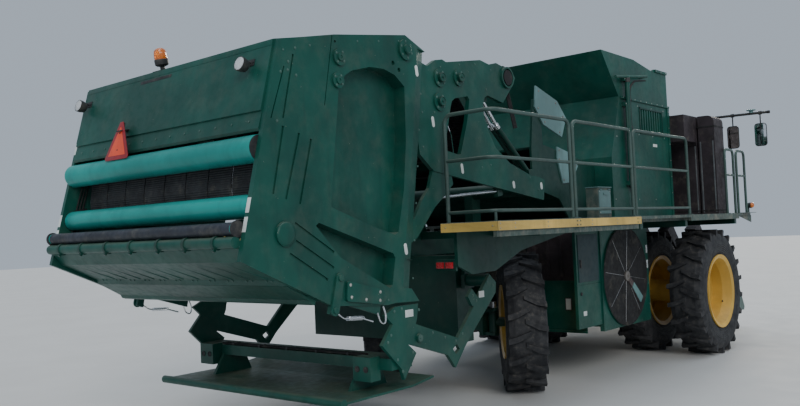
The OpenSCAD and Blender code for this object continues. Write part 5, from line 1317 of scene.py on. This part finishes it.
def apply_modifiers(piece):
    """Put the mesh as modified in place of the piece's own."""
    graph = bpy.context.evaluated_depsgraph_get()
    mesh = bpy.data.meshes.new_from_object(piece.evaluated_get(graph))
    piece.modifiers.clear()
    piece.data = mesh


def swell(piece, cap):
    """Blow the piece up with Cloth pressure for twenty steps, then hold each point to the cap."""
    rest = [v.co.copy() for v in piece.data.vertices]
    cloth = piece.modifiers.new("swell", "CLOTH")
    cloth.settings.use_pressure = True
    cloth.settings.uniform_pressure_force = 4
    cloth.settings.effector_weights.gravity = 0
    scene = bpy.context.scene
    for frame_number in range(1, 21):
        scene.frame_set(frame_number)
    apply_modifiers(piece)
    for v, start in zip(piece.data.vertices, rest):
        move = v.co - start
        if move.length > cap:
            v.co = start + move * (cap / move.length)
    scene.frame_set(1)


def seat():
    """Cushions, pedestal with bellows, shells and arm rests, in place of the plain seat."""
    made = [cushion("seat_base_cushion", at(0, -1.11, 2.575), (0.49, 0.54, 0.11)),
            cushion("seat_back_cushion", at(0, -0.82, 2.9), (0.47, 0.1, 0.54)),
            cushion("seat_headrest", at(0, -0.82, 3.212), (0.28, 0.09, 0.06))]
    b = Build()
    # Pedestal with its bellows, shell under the cushions and the arm rests
    for i in range(6):
        z = 2.222 + 0.042 * i
        b.band(at(0, SEAT_Y, z + 0.01), (0.37, 0.37), 0.02, 0.012)
    b.box(at(0, SEAT_Y, 2.35), (0.36, 0.36, 0.25), edge=0.01)
    b.box(at(0, -1.11, 2.507), (0.5, 0.56, 0.03), edge=0.012)
    b.box(at(0, -0.772, 2.86), (0.46, 0.016, 0.6), edge=0.006)
    for s in (-1, 1):
        b.box(at(s * 0.235, -1.02, 2.66), (0.045, 0.3, 0.035), edge=0.014)
        b.tube([at(s * 0.235, -0.79, 2.66), at(s * 0.235, -0.9, 2.66)], 0.012, 12)
    made.append(b.done("seat_frame", "black"))
    for piece in made:
        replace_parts(piece, "cab_seat")


mirrors()
cab_fittings()
seat()


# Header, handler and rear lamps

ROW_X = [(i - 2.5) * 0.485 for i in range(6)]
# Bolts on the handler's arms
HANDLER_BOLTS = ((6.97, 1.32), (6.86, 1.335), (7.03, 1.1), (7.08, 1.04), (6.95, 0.86), (6.88, 0.74),
        (6.72, 0.9), (6.6, 1.3), (6.4, 1.05), (6.2, 0.98), (5.4, 1.48), (5.3, 1.44), (5.62, 1.3),
        (5.68, 1.36), (5.9, 0.98), (6.02, 0.92))


def header_fittings():
    """Bolts and lids of the row units, pipes along the toolbar."""
    b = Build()
    for x in ROW_X:
        for y, z in ((-2.0, 1.44), (-1.8, 1.44), (-2.0, 0.6), (-1.8, 0.6)):
            for side, s, out in SIDES:
                b.bolt(at(x + s * 0.215, y, z), out, 0.007, 0.005)
        for dx in (-0.07, 0.07):
            b.bolt(at(x + dx, -2.15, 1.48), UP, 0.01, 0.008)
            b.bolt(at(x + dx, -1.575, 1.19), REARWARD, 0.014, 0.012)
    b.done("row_unit_bolts", "zinc", "header")
    for x in ROW_X:
        b.box(at(x, -2.03, 1.486), (0.3, 0.36, 0.008), edge=0.003)
        handle = ((-0.1, 1.484), (-0.1, 1.52), (0.1, 1.52), (0.1, 1.484))
        b.tube([at(x + dx, -2.24, z) for dx, z in handle], 0.008, 12, bend=0.02)
    b.done("row_unit_lids", "green_dark", "header")
    for i in range(4):
        b.tube([at(x, -1.72, 1.262 + 0.026 * i) for x in (-1.42, 1.42)], 0.011, 12)
    b.done("toolbar_pipes", "seal", "header")
    for x in ROW_X:
        b.box(at(x, -1.72, 1.3), (0.03, 0.045, 0.115), edge=0.005)
    b.done("toolbar_pipe_clamps", "black", "header")


def handler_fittings():
    """Bolts, blank plates, painted shade in the stop blocks' bores, and pipes of the module handler."""
    b = Build()
    for side, s, out in SIDES:
        x = s * HANDLER_X
        b.bolts(at_row(x, *HANDLER_BOLTS), out, 0.012, 0.01)
        b.lathe(at(x + s * 0.02, 6.618, 1.025), out, [(-0.005, 0.036), (0.006, 0.034), (0.006, 0.012),
                (0.012, 0.01), (0.012, 0.001)], 28)
        b.done("handler_bolts_" + side, "bolt", "handler")
        for y, z, along in ((5.52, 1.36, 0.1), (6.75, 1.28, 0.12)):
            b.box(at(x + s * 0.001, y, z), (0.002, along, 0.07), edge=0.0008)
        b.done("handler_plates_" + side, "plate", "handler")
        # Black cups on the rusty stop blocks: painted shade for the hollow of their bores
        for bore in (1.16, 1.27):
            b.lathe(at(s * bore, 7.1305, 0.775), REARWARD,
                    [(0, 0.03), (0.006, 0.03), (0.006, 0.022), (0.001, 0.02), (0.001, 0.001)], 24)
        b.done("stop_block_bore_shade_" + side, "black", "handler")
    for i in range(4):
        b.tube([at(x, 6.98 - 0.022 * i, 0.885) for x in (-1.1, 1.1)], 0.01, 12)
    b.done("beam_pipes", "seal", "handler")
    for i in range(5):
        b.box(at(-0.9 + 0.45 * i, 6.947, 0.884), (0.028, 0.1, 0.028), edge=0.005)
    b.done("beam_pipe_clamps", "black", "handler")


def rear_lamp_set():
    """Two red lamps on each side, in their housings."""
    b = Build()
    for side, s, out in SIDES:
        for name, mat, y, size, edge in (("housing", "black", 6.0075, (0.104, 0.015, 0.074), 0.005),
                ("lens", "lens_red", 6.021, (0.094, 0.018, 0.064), 0.007)):
            for x in (0.1397, 0.0197):
                b.box(at(s * (PLATFORM_IN_X - x), y, 1.7), size, edge=edge)
            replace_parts(b.done("rear_lamp_%s_%s" % (name, side), mat, "machine"), "rear_lamps")


header_fittings()
handler_fittings()
rear_lamp_set()


# Floor and light


def make_stage():
    """Plain pale floor, pale blue surroundings, and three wide suns that give soft shadows."""
    bpy.ops.mesh.primitive_plane_add(size=160, location=(0, 0, -0.001))
    floor = bpy.context.object
    floor.name = "floor"
    s = Shader("floor_pale", Specular_IOR_Level=0.2)
    s.colour(s.mix(s.cloud(0.6, 5, 0.3, 0.7), (0.53, 0.53, 0.52), (0.56, 0.56, 0.55)))
    s.roughness(s.cloud(3, 3, 0.3, 0.7, 0.8, 0.95))
    floor.data.materials.append(s.mat)

    world = bpy.data.worlds.new("studio")
    bpy.context.scene.world = world
    world.use_nodes = True
    back = world.node_tree.nodes["Background"]
    back.inputs[0].default_value = (0.66, 0.76, 0.88, 1)
    back.inputs[1].default_value = 0.62

    def sun(name, way, spread, power, tint):
        light = bpy.data.lights.new(name, "SUN")
        light.angle = math.radians(spread)
        light.energy = power
        light.color = tint
        obj = bpy.data.objects.new(name, light)
        obj.rotation_euler = Vector(way).to_track_quat("-Z", "Y").to_euler()
        bpy.context.scene.collection.objects.link(obj)

    sun("key", (13, -10, -9), 27, 1.26, (1.0, 0.97, 0.92))
    sun("front_glow", (-6, 20, -5), 21, 1.62, (1.0, 0.93, 0.82))
    sun("sky", (0, 0, -1), 50, 1.18, (0.85, 0.92, 1.0))


make_stage()
